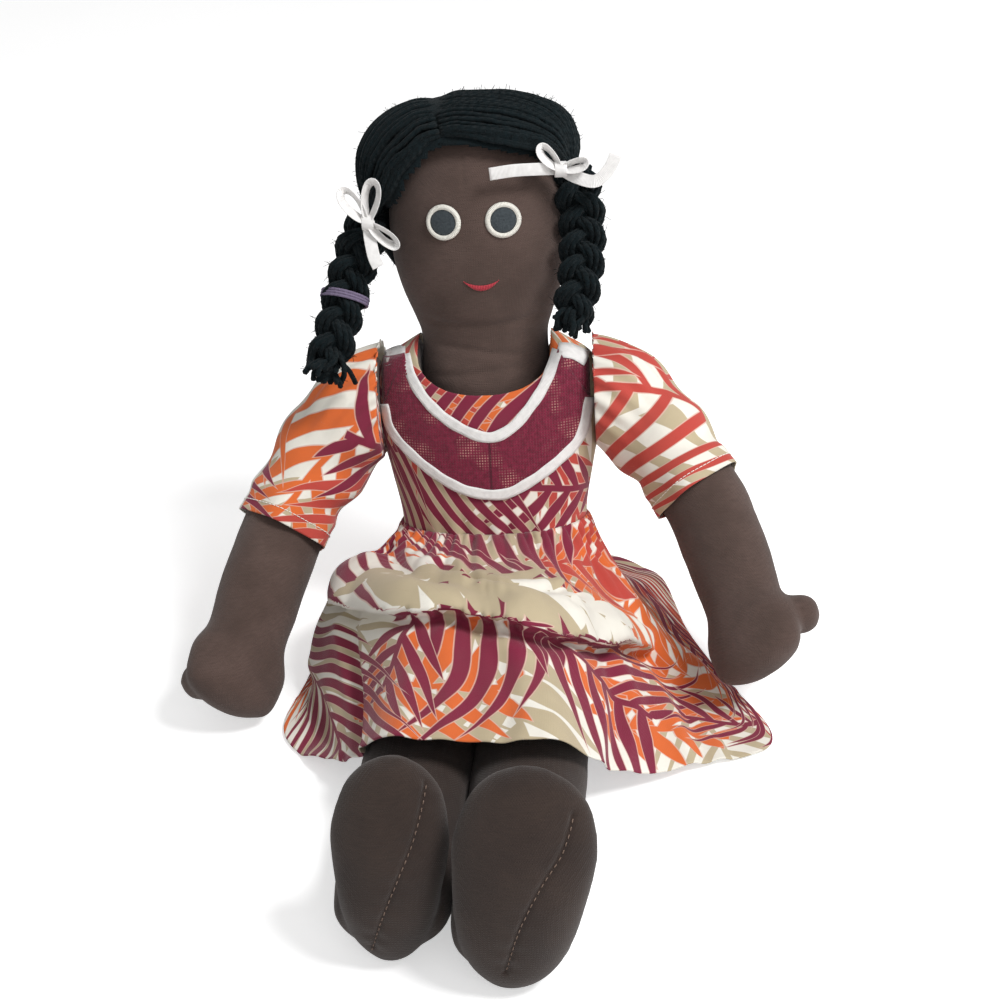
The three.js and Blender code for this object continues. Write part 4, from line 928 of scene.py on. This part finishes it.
def bodice(name, back_side):
    low = NECK_BACK_LOW if back_side else NECK_LOW
    cols, rows = 121, 70
    ups = np.linspace(WAIST_UP - 1, 165.5, 500)
    wide, _, _ = girth(ups)
    points, uv = np.zeros((rows, cols, 3)), np.zeros((rows, cols, 2))
    for c, turn in enumerate(np.linspace(0.012, math.pi - 0.012, cols)):
        xs = np.cos(turn) * (wide + BODICE_EASE)
        open_ = (abs(xs) < NECK_HALF) & (ups > neck_edge(xs, low))
        up = np.linspace(WAIST_UP - 1, ups[np.argmax(open_)] if open_.any() else ups[-1], rows)
        w, d, middle = girth(up)
        x = np.clip(np.cos(turn) * (w + BODICE_EASE), -55.6, 55.6)
        f = (d + BODICE_EASE) * np.sin(turn)
        off = ripple(x, up) * np.sin(turn) ** 2
        points[:, c] = lean(x, middle - f if back_side else middle + f + off, up)
        uv[:, c, 0] = (x + (np.sign(x) * abs(d * (1 - np.sin(turn))))) * MM
        uv[:, c, 1] = (WAIST_UP - up) * MM
    if back_side:
        uv[..., 0] = PRINT_BACK - uv[..., 0]
    return grid(name, points, uv, bodice_print, thick=0.6, offset=1.0 if back_side else -1.0)


bodice_front = bodice("bodice_front_cloth", False)
bodice_back = bodice("bodice_back_cloth", True)


def between(name, first, second, rows, cols):
    """A band of open mesh on the chest between two lines of [across, up]."""
    a, b = (Line(line).at(np.linspace(0, 1, cols)) for line in (first, second))
    s = np.linspace(0, 1, rows)[:, None, None]
    place = a[None] * (1 - s) + b[None] * s
    return grid(name, chest(place[..., 0], place[..., 1], 3.1), place * MM, open_mesh, thick=0.7)


# The edges of the yoke on the chest: across and up
INNER_V = [(-41, 156), (-38, 147), (-31, 135), (-16, 122), (2, 115), (13, 119), (23, 129), (31, 140),
           (38, 156)]
OUTER_V = [(-54, 130), (-51, 117), (-41, 106), (-25, 94), (-10, 87), (8, 85), (21, 90), (37, 100),
           (48, 110), (54, 130)]
yoke = between("yoke_mesh", INNER_V, OUTER_V, 14, 80)
join(yoke, between("yoke_corner", [(-41, 156), (-38, 147)], [(-54, 152), (-54, 130)], 8, 8),
     between("yoke_corner", [(38, 156), (34, 147)], [(54, 152), (54, 128)], 8, 8))


def trim(name, line):
    """A ribbon laid on the chest along a line of [across, up]."""
    curve = Line(line)
    t = np.linspace(0, 1, max(int(curve.long / 1.6), 8))
    way = curve.way(t)
    off = np.stack([-way[:, 1], way[:, 0]], -1)
    s = np.linspace(-0.5, 0.5, 5)[:, None]
    wave = 1 + 0.05 * np.sin(t * curve.long / 2.1)
    place = curve.at(t)[None] + off[None] * (s * TRIM_WIDE * wave[None])[..., None]
    lift = 4.0 + 0.15 * np.sin(t * curve.long / 7.0 + 0.8)[None] * np.sign(s)
    uv = np.stack(np.broadcast_arrays((t * curve.long)[None] * MM, (s + 0.5) * TRIM_WIDE * MM), -1)
    return grid(name, chest(place[..., 0], place[..., 1], lift), uv, ribbon)


trim_inner = trim("yoke_trim_inner_ribbon", INNER_V)
join(trim_inner, trim("trim_end", [(-53, 152), (-47, 154.5), (-41, 156)]),
     trim("trim_end", [(38, 156), (46, 153.5), (53, 149)]))
trim_outer = trim("yoke_trim_outer_ribbon", OUTER_V)


def sleeve(side):
    way, whole = SIDES[side], arm_spine(side)
    spine = Line([whole.at(s * SLEEVE_SHARES[side])[0] for s in (0, 0.25, 0.5, 0.75, 1)])
    puff = SLEEVE_PUFF / SLEEVE_WIDE
    shares = [[0, 0.96, 0.96], [0.3, 1 + puff, 1 + puff], [0.6, 1 + puff * 0.6, 1], [0.85, 0.98, 0.95],
              [1, 1, 0.97]]
    rings = rings_of(spine, np.array([way, 0, 1.0]), shares, SLEEVE_WIDE, SLEEVE_DEEP, 80, 128)
    rows, cols = rings.shape[:2]
    s, turn = np.linspace(0, 1, rows)[:, None], circle(cols)[None]
    gather = 1.1 * np.sin(turn * 17 + way) * (1 - smoothstep(s, 0.1, 0.55))
    creases = 1.6 * np.sin(s * 21 + 2.2 * np.sin(turn + 0.6 * way) + way) * np.sin(turn + 1.2) * smoothstep(
        s, 0.12, 0.3) * (1 - smoothstep(s, 0.72, 0.88))
    flare = 1.4 * np.sin(turn * 5 + 0.8) * smoothstep(s, 0.6, 1.0)
    out = unit(rings - rings.mean(1, keepdims=True))
    rings = kept_out(rings + out * (gather + creases + flare)[..., None], way, SHOULDER_OUT + 0.1)
    front_turn = math.pi * (1.5 if way < 0 else 0.5)
    uv = np.stack(np.broadcast_arrays((front_turn - turn) / math.tau * SLEEVE_ROUND, s * 0.085), -1)
    obj = grid(f"sleeve_{side}_cloth", rings, uv, sleeve_prints[side], uv[:, 0, 0] - SLEEVE_ROUND, 0.6)
    line = rings[int(rows * 0.9)]
    line = np.vstack([line, line[:1]])
    sewn(obj, line, unit(line - line.mean(0)), 1.9, 0.6, 0.25, 0.22, thread_white)
    placed(obj, f"arm_{side}", f"sleeve_{side}")


for side in SIDES:
    sleeve(side)

# The hem's shares of its half width, of its reach to the back or the front, and of its height over the lap
HEM_WIDE, HEM_BACK, HEM_FRONT, HEM_UP = 130, 66, 198, 51
hem_shares = [
    [0, 1, 0], [-0.32, 0.94, 0], [-0.56, 0.7, 0], [-0.68, 0.2, 0], [-0.73, -0.13, 0], [-0.77, -0.36, 0],
    [-0.8, -0.585, 0], [-0.53, -0.8, 0.3], [-0.29, -0.98, 1.06], [0, -1, 1.06], [0.27, -1, 1.06],
    [0.49, -0.88, 0.4], [0.76, -0.76, 0.03], [1.06, -0.66, 0], [0.9, -0.36, 0], [0.78, -0.14, 0],
    [0.7, 0.26, 0], [0.54, 0.74, 0], [0.3, 0.94, 0]]
hem_curve = Line([(a * HEM_WIDE, b * (HEM_BACK if b > 0 else HEM_FRONT), c * HEM_UP)
                  for a, b, c in hem_shares], True)
LAP_RISE, SIDE_RISE, ROLL_HIGH = 5, 1, 7.2
# Lines of the photograph's pixels: the lower edge of the roll on the lap, and the other folds, each with its
# depth and width
ROLL_EDGE = [(338, 590), (352, 603), (400, 610), (440, 613), (480, 617), (520, 624), (560, 632), (600, 639),
             (650, 644)]
FOLDS = [([(350, 614), (356, 660), (360, 710), (357, 764)], 3.2, 5.0),
         ([(604, 644), (618, 690), (612, 768)], 2.4, 6.0),
         ([(652, 645), (682, 695), (704, 766)], 2.6, 6.0),
         ([(440, 560), (470, 578), (520, 592), (570, 596)], 2.2, 4.0),
         ([(372, 520), (392, 560), (440, 590), (500, 606)], 3.0, 6.0),
         ([(590, 540), (606, 580), (640, 622)], 2.2, 5.0),
         ([(536, 545), (548, 580), (560, 610)], 1.4, 3.5),
         ([(470, 540), (468, 565), (476, 590)], 1.2, 3.0),
         ([(300, 668), (316, 700), (330, 756)], 2.2, 6.0),
         ([(500, 655), (508, 700), (502, 745)], 1.2, 5.0),
         ([(420, 640), (428, 690), (420, 742)], 1.2, 6.0),
         ([(724, 668), (744, 700), (748, 745)], 2.0, 6.0)]


def skirt():
    cols, rows = 600, 112
    around, down = np.arange(cols) / cols, np.linspace(0, 1, rows)[:, None]
    turn = around * math.tau
    hem = hem_curve.points(around)
    half_wide, half_deep, middle = girth(WAIST_UP)
    waist = lean(-np.sin(turn) * (half_wide + 2.7), middle - np.cos(turn) * (half_deep + 2.7), WAIST_UP + 0.4)
    front = smoothstep(-np.cos(turn), 0.45, 0.95)[None]
    # The smooth form from the waist to the hem. The right side stands out round the lap.
    roll = smoothstep(down, 0.08, 0.42) * (1 - smoothstep(down, 0.46, 0.72))
    rise = (SIDE_RISE + (LAP_RISE - SIDE_RISE) * front) * np.sin(math.pi * down ** 0.85)
    rise = rise + ROLL_HIGH * front * roll
    fall = (1 - (1 - down) ** 2.5) * (1 - front) + down * front
    base = waist[None] * (1 - down[..., None]) + hem[None] * down[..., None]
    base[..., 2] = waist[None, :, 2] + (hem[:, 2] - waist[:, 2])[None] * fall + rise
    full = bell(turn - math.radians(118), 0.42)[None] * smoothstep(down, 0, 0.26)
    full = full * (1 - smoothstep(down, 0.4, 0.95))
    base[..., 0] -= 22 * full
    base[..., 2] += 15 * full
    falling = np.gradient(base, axis=0)
    normal = unit(np.cross(falling, np.roll(base, -1, 1) - np.roll(base, 1, 1)))
    if normal[:, cols // 2, 2].mean() < 0:
        normal = -normal
    length = np.array([travelled(base[:, c]) for c in range(cols)]).T
    surface = BVHTree.FromPolygons(base.reshape(-1, 3).tolist(), grid_faces(rows, cols, True))

    def under(pixels):
        """Where the photograph's pixels lie on the smooth form: row, column and place."""
        hits = [surface.ray_cast(*sight(x, y)) for x, y in Line(pixels).at(np.linspace(0, 1, 60))]
        return np.array([(index // cols, index % cols, *hit) for hit, _, index, _ in hits if hit is not None])

    def drape(start, wide, fast):
        return np.array([noise.noise(Vector((math.cos(a) * wide + start, math.sin(a) * wide, d * fast)))
                         for d in down[:, 0] for a in turn]).reshape(rows, cols)

    # The roll on the lap: past is how far a place lies below its edge
    edge = under(ROLL_EDGE)
    order = np.argsort(edge[:, 1])
    columns = np.arange(cols)
    edge_row = np.interp(columns, edge[order, 1], edge[order, 0])
    edge_far = np.array([np.interp(edge_row[c], np.arange(rows), length[:, c]) for c in columns])
    left, right = edge[:, 1].min(), edge[:, 1].max()
    taper = (smoothstep(columns, left - 14, left + 18)
             * (1 - smoothstep(columns, right - 12, right + 14)))[None]
    past = length - edge_far[None]
    swell = np.where(past < 0, bell(past, 22), bell(past, 1.2)) * 11
    tuck = -4.0 * bell(past - 5, 7.0)
    lip = 8.0 * np.where(past < 0, bell(past, 7.0), bell(past, 1.0))
    # Folds, gathers and creases
    warp = around[None] + 0.006 * np.sin(turn * 5 + 1) + 0.004 * np.sin(turn * 11)
    fold = 3.4 * down ** 1.1 * np.cos(14 * warp * math.tau) * (0.75 + 0.35 * np.sin(turn * 3 + 2)[None])
    gather = (1.3 * np.exp(-down / 0.13) * smoothstep(down, 0, 0.02)
              * np.sin(turn * 54 + 2.5 * np.sin(turn * 7))[None])
    small = (3.2 * drape(0, 5.5, 1.6) + 3.2 * drape(9, 2.2, 3.0)) * smoothstep(down, 0.03, 0.2)
    height = (swell + tuck) * taper + fold * (1 - 0.75 * front) + gather + small
    for pixels, deep, wide in FOLDS:
        sink, _, gap = crease(base.reshape(-1, 3), under(pixels)[:, 2:], deep, wide)
        ridge = 0.45 * deep * bell(gap - wide * 1.7, wide * 0.8)
        height -= (sink - ridge).reshape(rows, cols)
    points = base + normal * height[..., None] + unit(falling) * (lip * taper)[..., None]
    points[..., 2] = np.maximum(points[..., 2], 1.0)
    # The print: u runs along each row from the front's middle, and v down from the waist, past the cloth that
    # is hidden in the roll
    arc = np.array([travelled(np.vstack([row, row[:1]])) for row in base]) * MM
    across = arc - arc[:, cols // 2:cols // 2 + 1]
    hidden = 22 * smoothstep(past, -0.8, 0.8) * taper * (1 - 0.5 * down)
    level = smoothstep(-np.cos(turn), -0.1, 0.6)[None]
    deep = length[:, cols // 2][:, None] * level + length * (1 - level)
    uv = np.stack(np.broadcast_arrays(across[:, :-1], (deep + hidden) * MM), -1)
    obj = grid("skirt_cloth", points, uv, skirt_print, across[:, -1], 0.6)
    row = int(rows * 0.955)
    line, ways = (np.vstack([part[row], part[row][:1]]) for part in (points, normal))
    sewn(obj, line, ways, 1.9, 0.6, 0.3, 0.22, thread_white)
    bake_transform(obj)
    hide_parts("skirt_front", "skirt_back")


skirt()
for obj, node in ((bodice_front, "bodice_front"), (bodice_back, "bodice_back")):
    placed(obj, "torso", node)
placed(yoke, "torso", "yoke")
placed(trim_inner, "torso", "yoke_trim_inner")
placed(trim_outer, "torso", "yoke_trim_outer")

# The hair
rng = np.random.default_rng(11)


def by_head(share):
    return lean(share[0] * HEAD_WIDE, share[1] * HEAD_DEEP, CHIN_UP + share[2] * HEAD_LONG)


plait_shares = {
    "right": [[-1.2, 0.36, 0.5], [-1.4, 0.6, 0.255], [-1.58, 0.98, -0.009], [-1.739, 1.222, -0.226]],
    "left": [[1.08, 0.36, 0.7], [1.15, 0.52, 0.453], [1.11, 0.85, 0.198], [0.98, 1.03, -0.019]]}
plait_spines = {side: Line([by_head(s) for s in rows]) for side, rows in plait_shares.items()}
head_middle = lean(0, 0, CHIN_UP + HEAD_LONG / 2)
HAIR_WIDE, HAIR_DEEP = 58, 43
HAIR_SHARES = {
    "right": [[0, 0.6, 0.72], [0.2, 0.74, 0.84], [0.36, 0.82, 0.94], [0.52, 0.87, 0.98], [0.64, 1.02, 1],
              [0.76, 1.02, 0.98], [0.86, 0.92, 0.88], [0.93, 0.76, 0.74], [0.975, 0.54, 0.54],
              [1, 0.3, 0.32]],
    "left": [[0, 0.6, 0.72], [0.2, 0.74, 0.84], [0.36, 0.83, 0.94], [0.52, 0.86, 0.98], [0.66, 0.84, 1],
             [0.78, 0.9, 0.98], [0.86, 0.86, 0.88], [0.93, 0.74, 0.74], [0.975, 0.54, 0.54], [1, 0.3, 0.32]]}


def hair_form(side, steps, sides, grow=0.0):
    """The hair's outer form on one side: points and faces."""
    return closed_rings(rings_of(Line([lean(0, 0, up) for up in (166.5, 225, 284)]), X_WAY, HAIR_SHARES[side],
                                 HAIR_WIDE, HAIR_DEEP, steps, sides, grow))


hair_forms = {side: hair_form(side, 60, 64) for side in SIDES}
hair_trees = {side: BVHTree.FromPolygons(points.tolist(), faces)
              for side, (points, faces) in hair_forms.items()}


def on_hair(side, way, lift, pile=0.0):
    """The place on the hair's outer form in a direction from the head's middle, never under the skin."""
    start, aim = Vector(head_middle + way * 150), Vector(-way)
    hit, normal, _, _ = head_tree.ray_cast(start, aim)
    low = np.array(hit) + np.array(normal) * (1.3 + pile)
    hit, normal, _, _ = hair_trees[side].ray_cast(start, aim)
    if hit is None:
        return low
    high = np.array(hit) + way * lift
    return high if np.linalg.norm(high - head_middle) > np.linalg.norm(low - head_middle) else low


def direction(across, forward, up):
    return unit(across * LEAN_ACROSS + forward * LEAN_FORWARD + up * LEAN_UP)


def parting(count):
    """Directions along the parting, from the hairline over the crown to the nape."""
    front = unit(np.array(head_tree.ray_cast(*sight(447, 145))[0]) - head_middle)
    crown = direction(-0.30, 0.05, 0.95)
    curve = Line([front, unit(front * 0.5 + crown * 0.5), crown, direction(-0.20, -0.80, 0.35),
                  direction(-0.05, -0.9, -0.55)])
    return [unit(p) for p in curve.at(np.linspace(0, 1, count))]


# The hairline from the parting to each tie, in the photograph's pixels
HAIRLINES = {"right": [(446, 146), (435, 154), (425, 167), (414, 179), (404, 196), (393, 207), (385, 215)],
             "left": [(447, 146), (473, 147), (492, 150), (513, 154), (528, 158), (545, 168)]}
PARTED = 96


def hair(side):
    way = SIDES[side]
    tie = plait_spines[side].at(0.0)[0]
    tie_way = unit(tie - head_middle)
    starts = parting(PARTED)
    hits = [head_tree.ray_cast(*sight(x, y))[0] for x, y in HAIRLINES[side]]
    guide = Line([unit(np.array(h) - head_middle) for h in hits if h is not None] + [tie_way])
    low = starts[-1]
    starts += [unit(low * (1 - s) + direction(way * 1.0, -0.28, -0.72) * s) for s in np.linspace(0.03, 1, 26)]
    steps = np.linspace(0, 1, 20)
    paths, radii, fluff = [], [], []
    for layer, lift in enumerate((-3.4, -1.5, -0.2)):
        for n, start in enumerate(starts):
            if layer == 2 and n % 3 == 0:
                continue
            parted = n < PARTED
            start = unit(start + rng.normal(0, 0.014, 3) + LEAN_ACROSS * way * (0.03 if parted else 0))
            total = math.acos(float(np.clip(start @ tie_way, -1, 1)))
            wander, rise = rng.normal(0, 0.022), rng.normal(0, 0.45)
            lead = math.exp(-(n / 11) ** 2) if parted else 0
            cross = unit(np.cross(start, tie_way))
            path = []
            for t in steps:
                # The arc to the tie, led by the hairline near the front
                arc = (math.sin((1 - t) * total) * start + math.sin(t * total) * tie_way) / math.sin(total)
                arc = unit(arc * (1 - lead) + unit(guide.at(t)[0]) * lead)
                arc = unit(arc + cross * wander * math.sin(math.pi * t) + rng.normal(0, 0.0035, 3))
                stack = lift + rise - 2.2 * (1 - smoothstep(t, 0, 0.10)) * (1 if parted else 0.3)
                stack -= 2.5 * smoothstep(t, 0.8, 1.0)
                path.append(on_hair(side, arc, stack, layer * 1.1 + abs(rise)))
            path = np.array(path)
            incoming = path[-5] - tie
            incoming = incoming - tie_way * (incoming @ tie_way)
            ring = tie + unit(incoming) * rng.uniform(3.0, 9.0) + tie_way * rng.uniform(-2, 1.5)
            ease = smoothstep(steps, 0.72, 1.0)[:, None]
            paths.append(Line(path * (1 - ease) + ring * ease).at(np.linspace(0, 1, 30)))
            radii.append(rng.uniform(1.1, 1.45))
            if layer:
                for at in rng.uniform(0.05, 0.95, 7):
                    base = paths[-1][int(at * 29)]
                    up, bend = unit(base - head_middle), rng.normal(0, 1, 3)
                    fluff.append(np.array([base, base + up * 1.3 + bend * 0.6, base + up * 1.7 + bend * 1.2]))
    points, faces, uvs = tubes(paths + fluff, radii + [0.12] * len(fluff))
    obj = outward(make(f"hair_{side}_yarn", points, faces, yarn, uvs))
    # A cap under the strands, only where they lie over it
    near = kd_of(np.vstack(paths))
    cap_all, cap_faces = hair_form(side, 90, 96, -4.6)
    middles = [cap_all[list(f)].mean(0) for f in cap_faces]
    keep = [f for f, middle in zip(cap_faces, middles)
            if near.find(middle)[2] < 4.4 and (from_lean(middle)[0] + 13) * way > -1.5]
    order = list(dict.fromkeys(v for f in keep for v in f))
    index = {v: i for i, v in enumerate(order)}
    cap_faces = [tuple(index[v] for v in f) for f in keep]
    cap = make("cap", cap_all[order], cap_faces, yarn, np.zeros((sum(len(f) for f in cap_faces), 2)))
    join(obj, modified(cap, "SOLIDIFY", thickness=0.8 * MM, offset=0.0, use_rim=True))
    placed(obj, "head", f"hair_{side}")


def plait(side):
    spine, right = plait_spines[side], side == "right"
    t = np.linspace(0, 1, 90)
    centre, way = spine.at(t), spine.way(t)
    out, up = across_line(way)
    tied = 0.80 if right else 0.84
    full = 1 - 0.12 * t
    squeeze = 1 - 0.35 * bell(t, 0.05)
    end = smoothstep(t, tied, 1.0)
    paths, radii = [], []
    for k in range(3):
        theta = math.tau * (2.1 * t + k / 3)
        x, y = 7.4 * full * squeeze * np.sin(theta), 4.6 * full * squeeze * np.sin(2 * theta)
        for n in range(9):
            # Eight strands round a ninth
            spin = math.tau * n / 8 + t * 5.0
            r = (3.9 if n < 8 else 0.0) * full
            flare = rng.normal(0, 1, 2) * (6.0 if right else 4.5)
            px = x * (1 - 0.5 * end) + r * np.cos(spin) + flare[0] * end
            py = y * (1 - 0.5 * end) + r * np.sin(spin) + flare[1] * end
            stop = int(len(t) * rng.uniform(0.9, 1.0))
            path = centre + out * px[:, None] + up * py[:, None]
            paths.append(path[:stop] + rng.normal(0, 0.12, (stop, 3)))
            radii.append(rng.uniform(1.3, 1.6))
    if not right:
        paths = [np.vstack([p, p[-1] + way[-1] * rng.uniform(1, 6) + rng.normal(0, 1.0, 3)]) for p in paths]
    fluff = []
    for path in paths:
        for at in rng.integers(2, min(len(path), len(centre)) - 1, 12):
            base = path[at]
            away, bend = unit(base - centre[at] + rng.normal(0, 0.3, 3)), rng.normal(0, 1, 3)
            fluff.append(np.array([base + away, base + away * 2.0 + bend * 0.5,
                                   base + away * 2.5 + bend * 1.2]))
    core = centre[:int(len(t) * tied)]
    points, faces, uvs = tubes(paths + [core] + fluff, radii + [3.4] + [0.13] * len(fluff))
    obj = outward(make(f"plait_{side}_yarn", points, faces, yarn, uvs))
    placed(obj, f"plait_{side}", f"plait_{side}")


def band():
    """Thin elastic in three turns round the right plait."""
    spine = plait_spines["right"]
    centre, way = spine.at(0.48)[0], spine.way(0.48)[0]
    out, up = across_line(way)
    turn = np.linspace(0, math.tau, 41)[:, None]
    paths = [centre + way * shift + out * (12.0 * np.cos(turn)) + up * (9.6 * np.sin(turn))
             for shift in (-1.4, 0.0, 1.4)]
    placed(add_tubes("plait_band_elastic", paths, 0.8, band_purple), "plait_right", "plait_band")


for piece in (hair, plait):
    for side in SIDES:
        piece(side)
band()

# The bows' knots, loops and tails from each knot: across, up and forward
KNOTS = {"right": [-1.15, 0.75, 0.509], "left": [0.95, 0.78, 0.717]}
LOOPS = {"right": [(-11, 16, 8.0, 0.5), (5, 20, 9.0, -0.3), (14, -11, 6.5, 0.3)],
         "left": [(-9, 11, 6.0, 0.4), (12, 3, 5.0, -0.3)]}
TAILS = {"right": [[(0, 0, 0), (1, -8, 5), (3, -17, 9), (5, -21, 11)]],
         "left": [[(0, 0, 0), (-9, 1, 7), (-22, 1.5, 12), (-34, 0.5, 14)],
                  [(0, 0, 0), (8, -4, 5), (17, -6, 6), (24, 0, 5), (27, 6, 4)]]}


def bow(side):
    knot = by_head(KNOTS[side])

    def place(*rows):
        across, up, forward = (np.asarray(row)[:, None] for row in rows)
        return knot + across * LEAN_ACROSS + up * LEAN_UP + forward * LEAN_FORWARD
    parts = []
    for a, u, wide, tilt in LOOPS[side]:
        far = math.hypot(a, u)
        turn = np.linspace(0, math.tau, 40)
        out = far * 0.5 * (1 - np.cos(turn))
        off = wide * 0.5 * np.sin(turn) * np.sqrt(np.maximum(out / far, 0.02))
        rows = place((a * out - u * off) / far, (u * out + a * off) / far,
                     2.5 + 3.5 * np.sin(turn / 2) + tilt * off)
        fast, slow = -np.cos(turn), np.sin(turn) * 0.6
        ways = (LEAN_FORWARD * 0.72 + ((a * fast - u * slow) / far)[:, None] * LEAN_ACROSS * 0.7
                + ((u * fast + a * slow) / far)[:, None] * LEAN_UP * 0.7)
        parts.append(strip(rows, ways, 6.0 - 2.4 * bell(out, 3.0), 0.45))
    for rows in TAILS[side]:
        line = Line(place(*zip(*rows))).at(np.linspace(0, 1, 26))
        ways = np.cross(unit(np.gradient(line, axis=0)), LEAN_FORWARD)
        parts.append(strip(line, unit(ways) + LEAN_FORWARD * 0.15, 6.2, 0.45))
    turn = np.linspace(0, math.tau, 30)
    wrap = place(0.4 * np.sin(turn), 3.4 * np.cos(turn), 2.6 + 3.6 * np.sin(turn))
    parts.append(strip(wrap, np.repeat(LEAN_ACROSS[None], 30, 0), 6.0, 0.9))
    points, faces, uvs = merged(parts)
    placed(outward(make(f"bow_{side}_ribbon", points, faces, ribbon, uvs)), "head", f"bow_{side}")


def on_face(x, y, lift):
    """The place over the face at a point of [across, up]."""
    hit, normal, _, _ = head_tree.ray_cast(Vector(lean(x, 90, y)), Vector(-LEAN_FORWARD))
    return np.array(hit) + np.array(normal) * lift


def felt(name, middle, inner, wide, lift, bulge, round_, cloth):
    """Rings of cloth laid on the face round a middle of [across, up], each with its own bulge."""
    rows, cols = len(bulge), 72
    points, uv = np.zeros((rows, cols, 3)), np.zeros((rows, cols, 2))
    for r in range(rows):
        far = inner + wide * (r / (rows - 1))
        for c in range(cols):
            turn = c / cols * math.tau
            points[r, c] = on_face(middle[0] + far * math.cos(turn), middle[1] + far * math.sin(turn), lift)
            uv[r, c] = c / cols * round_, r / (rows - 1) * 0.002
    points = points + unit(points - lean(0, 0, middle[1])) * bulge[:, None, None]
    return grid(name, points, uv, cloth, uv[:, 0, 0] + round_), points[-1]


def eye(side):
    middle = SIDES[side] * 14.6, CHIN_UP + 53
    bulge = np.sin(np.linspace(0, math.pi, 7)) * 0.9
    white, _ = felt(f"eye_white_{side}_felt", middle, 6.3, 2.1, 0.3, bulge, 0.05, satin_white)
    placed(white, "head", f"eye_white_{side}")
    bulge = (1 - np.linspace(0, 1, 9) ** 4) * 0.4
    dark, edge = felt(f"pupil_{side}_felt", middle, 0.05, 6.25, 0.4, bulge, 0.04, felt_grey)
    edge = np.vstack([edge, edge[:1]])
    join(dark, add_tubes("rim", [edge + unit(edge - lean(0, 0, middle[1])) * 0.25], 0.45, felt_black))
    placed(dark, "head", f"pupil_{side}")


def mouth():
    rows, cols = 9, 60
    points, uv = np.zeros((rows, cols, 3)), np.zeros((rows, cols, 2))
    for r in range(rows):
        for c in range(cols):
            down, along = r / (rows - 1), c / (cols - 1)
            s = along * 2 - 1
            sag = 5.2 * (1 - s * s)
            up = CHIN_UP + 20.6 + (2.6 - sag) * (1 - down) + (2.6 - sag * 0.45) * down
            points[r, c] = on_face(s * 8.9 + 2.2, up, 0.35 + 0.5 * math.sin(math.pi * down) * (1 - s * s))
            uv[r, c] = along * 0.018, down * 0.003
    placed(grid("mouth_stitches", points, uv, satin_red), "head", "mouth")


def button():
    up = NECK_BACK_LOW - 6.75
    _, forward, _ = from_lean(chest(0.0, up, 2.9, True))
    profile = [(4.3, 0.0), (4.5, 0.4), (4.5, 1.2), (4.2, 1.7), (3.6, 1.9), (3.0, 1.5)]
    turn = circle(48)
    rings = np.array([lean(r * np.cos(turn), forward - h, up + r * np.sin(turn)) for r, h in profile])
    obj = outward(make("back_button_disc", *closed_rings(rings), plastic_white))
    t = np.linspace(-1, 1, 7) * 1.1
    cross = [lean(-t, forward - 1.55 - 0.35 * (1 - (t / 1.1) ** 2), up + t * way) for way in (-1, 1)]
    join(obj, add_tubes("thread", cross, 0.25, thread_white))
    placed(obj, "torso", "back_button")


for piece in (bow, eye):
    for side in SIDES:
        piece(side)
mouth()
button()


def camera_seen(tree):
    """One where the camera looks, directly or by a mirror or glass, and nought for the light."""
    path = tree.add("ShaderNodeLightPath").socket.node.outputs
    rays = [Wire(tree, path[f"Is {kind} Ray"]) for kind in ("Camera", "Glossy", "Transmission")]
    return tree.math("MAXIMUM", tree.math("MAXIMUM", *rays[:2]), rays[2])


def stage_material():
    made = bpy.data.materials.new("stage_white")
    made.use_nodes = True
    tree = Tree(made.node_tree)
    inputs = made.node_tree.nodes["Principled BSDF"].inputs
    inputs["Roughness"].default_value = 0.9
    fine = tree.noise(tree.coords(), 4.0, 2.0)
    white = tree.mix(tree.span(fine, 0.3, 0.7), colour(247, 247, 247), colour(250, 250, 250))
    tree.put(inputs["Base Color"], white)
    inputs["Emission Color"].default_value = (1, 1, 1, 1)
    tree.put(inputs["Emission Strength"], camera_seen(tree) * 0.5)
    return made


make("floor", [(x, y, -0.5) for x, y in ((-6e3, -6e3), (6e3, -6e3), (6e3, 6e3), (-6e3, 6e3))],
              [(0, 1, 2, 3)], stage_material())
world = bpy.data.worlds.new("world")
bpy.context.scene.world = world
world.use_nodes = True
tree = Tree(world.node_tree)
ground = world.node_tree.nodes["Background"]
tree.put(ground.inputs["Strength"], tree.span(camera_seen(tree), 0.0, 1.0, 0.36, 1.0))
ground.inputs["Color"].default_value = (1, 1, 1, 1)


def lamp(name, at, size, power, aim=(0, -0.06, 0.12)):
    data = bpy.data.lights.new(name, "AREA")
    data.shape = "DISK"
    data.size = size
    data.energy = power
    obj = bpy.data.objects.new(name, data)
    bpy.context.scene.collection.objects.link(obj)
    obj.location = at
    obj.rotation_euler = (Vector(aim) - Vector(at)).to_track_quat("-Z", "Y").to_euler()


lamp("key", (0.95, -0.6, 1.5), 0.6, 27)
lamp("fill", (0.5, -1.5, 0.9), 1.0, 4)

bpy.context.scene.view_settings.view_transform = "Standard"
bpy.context.view_layer.update()
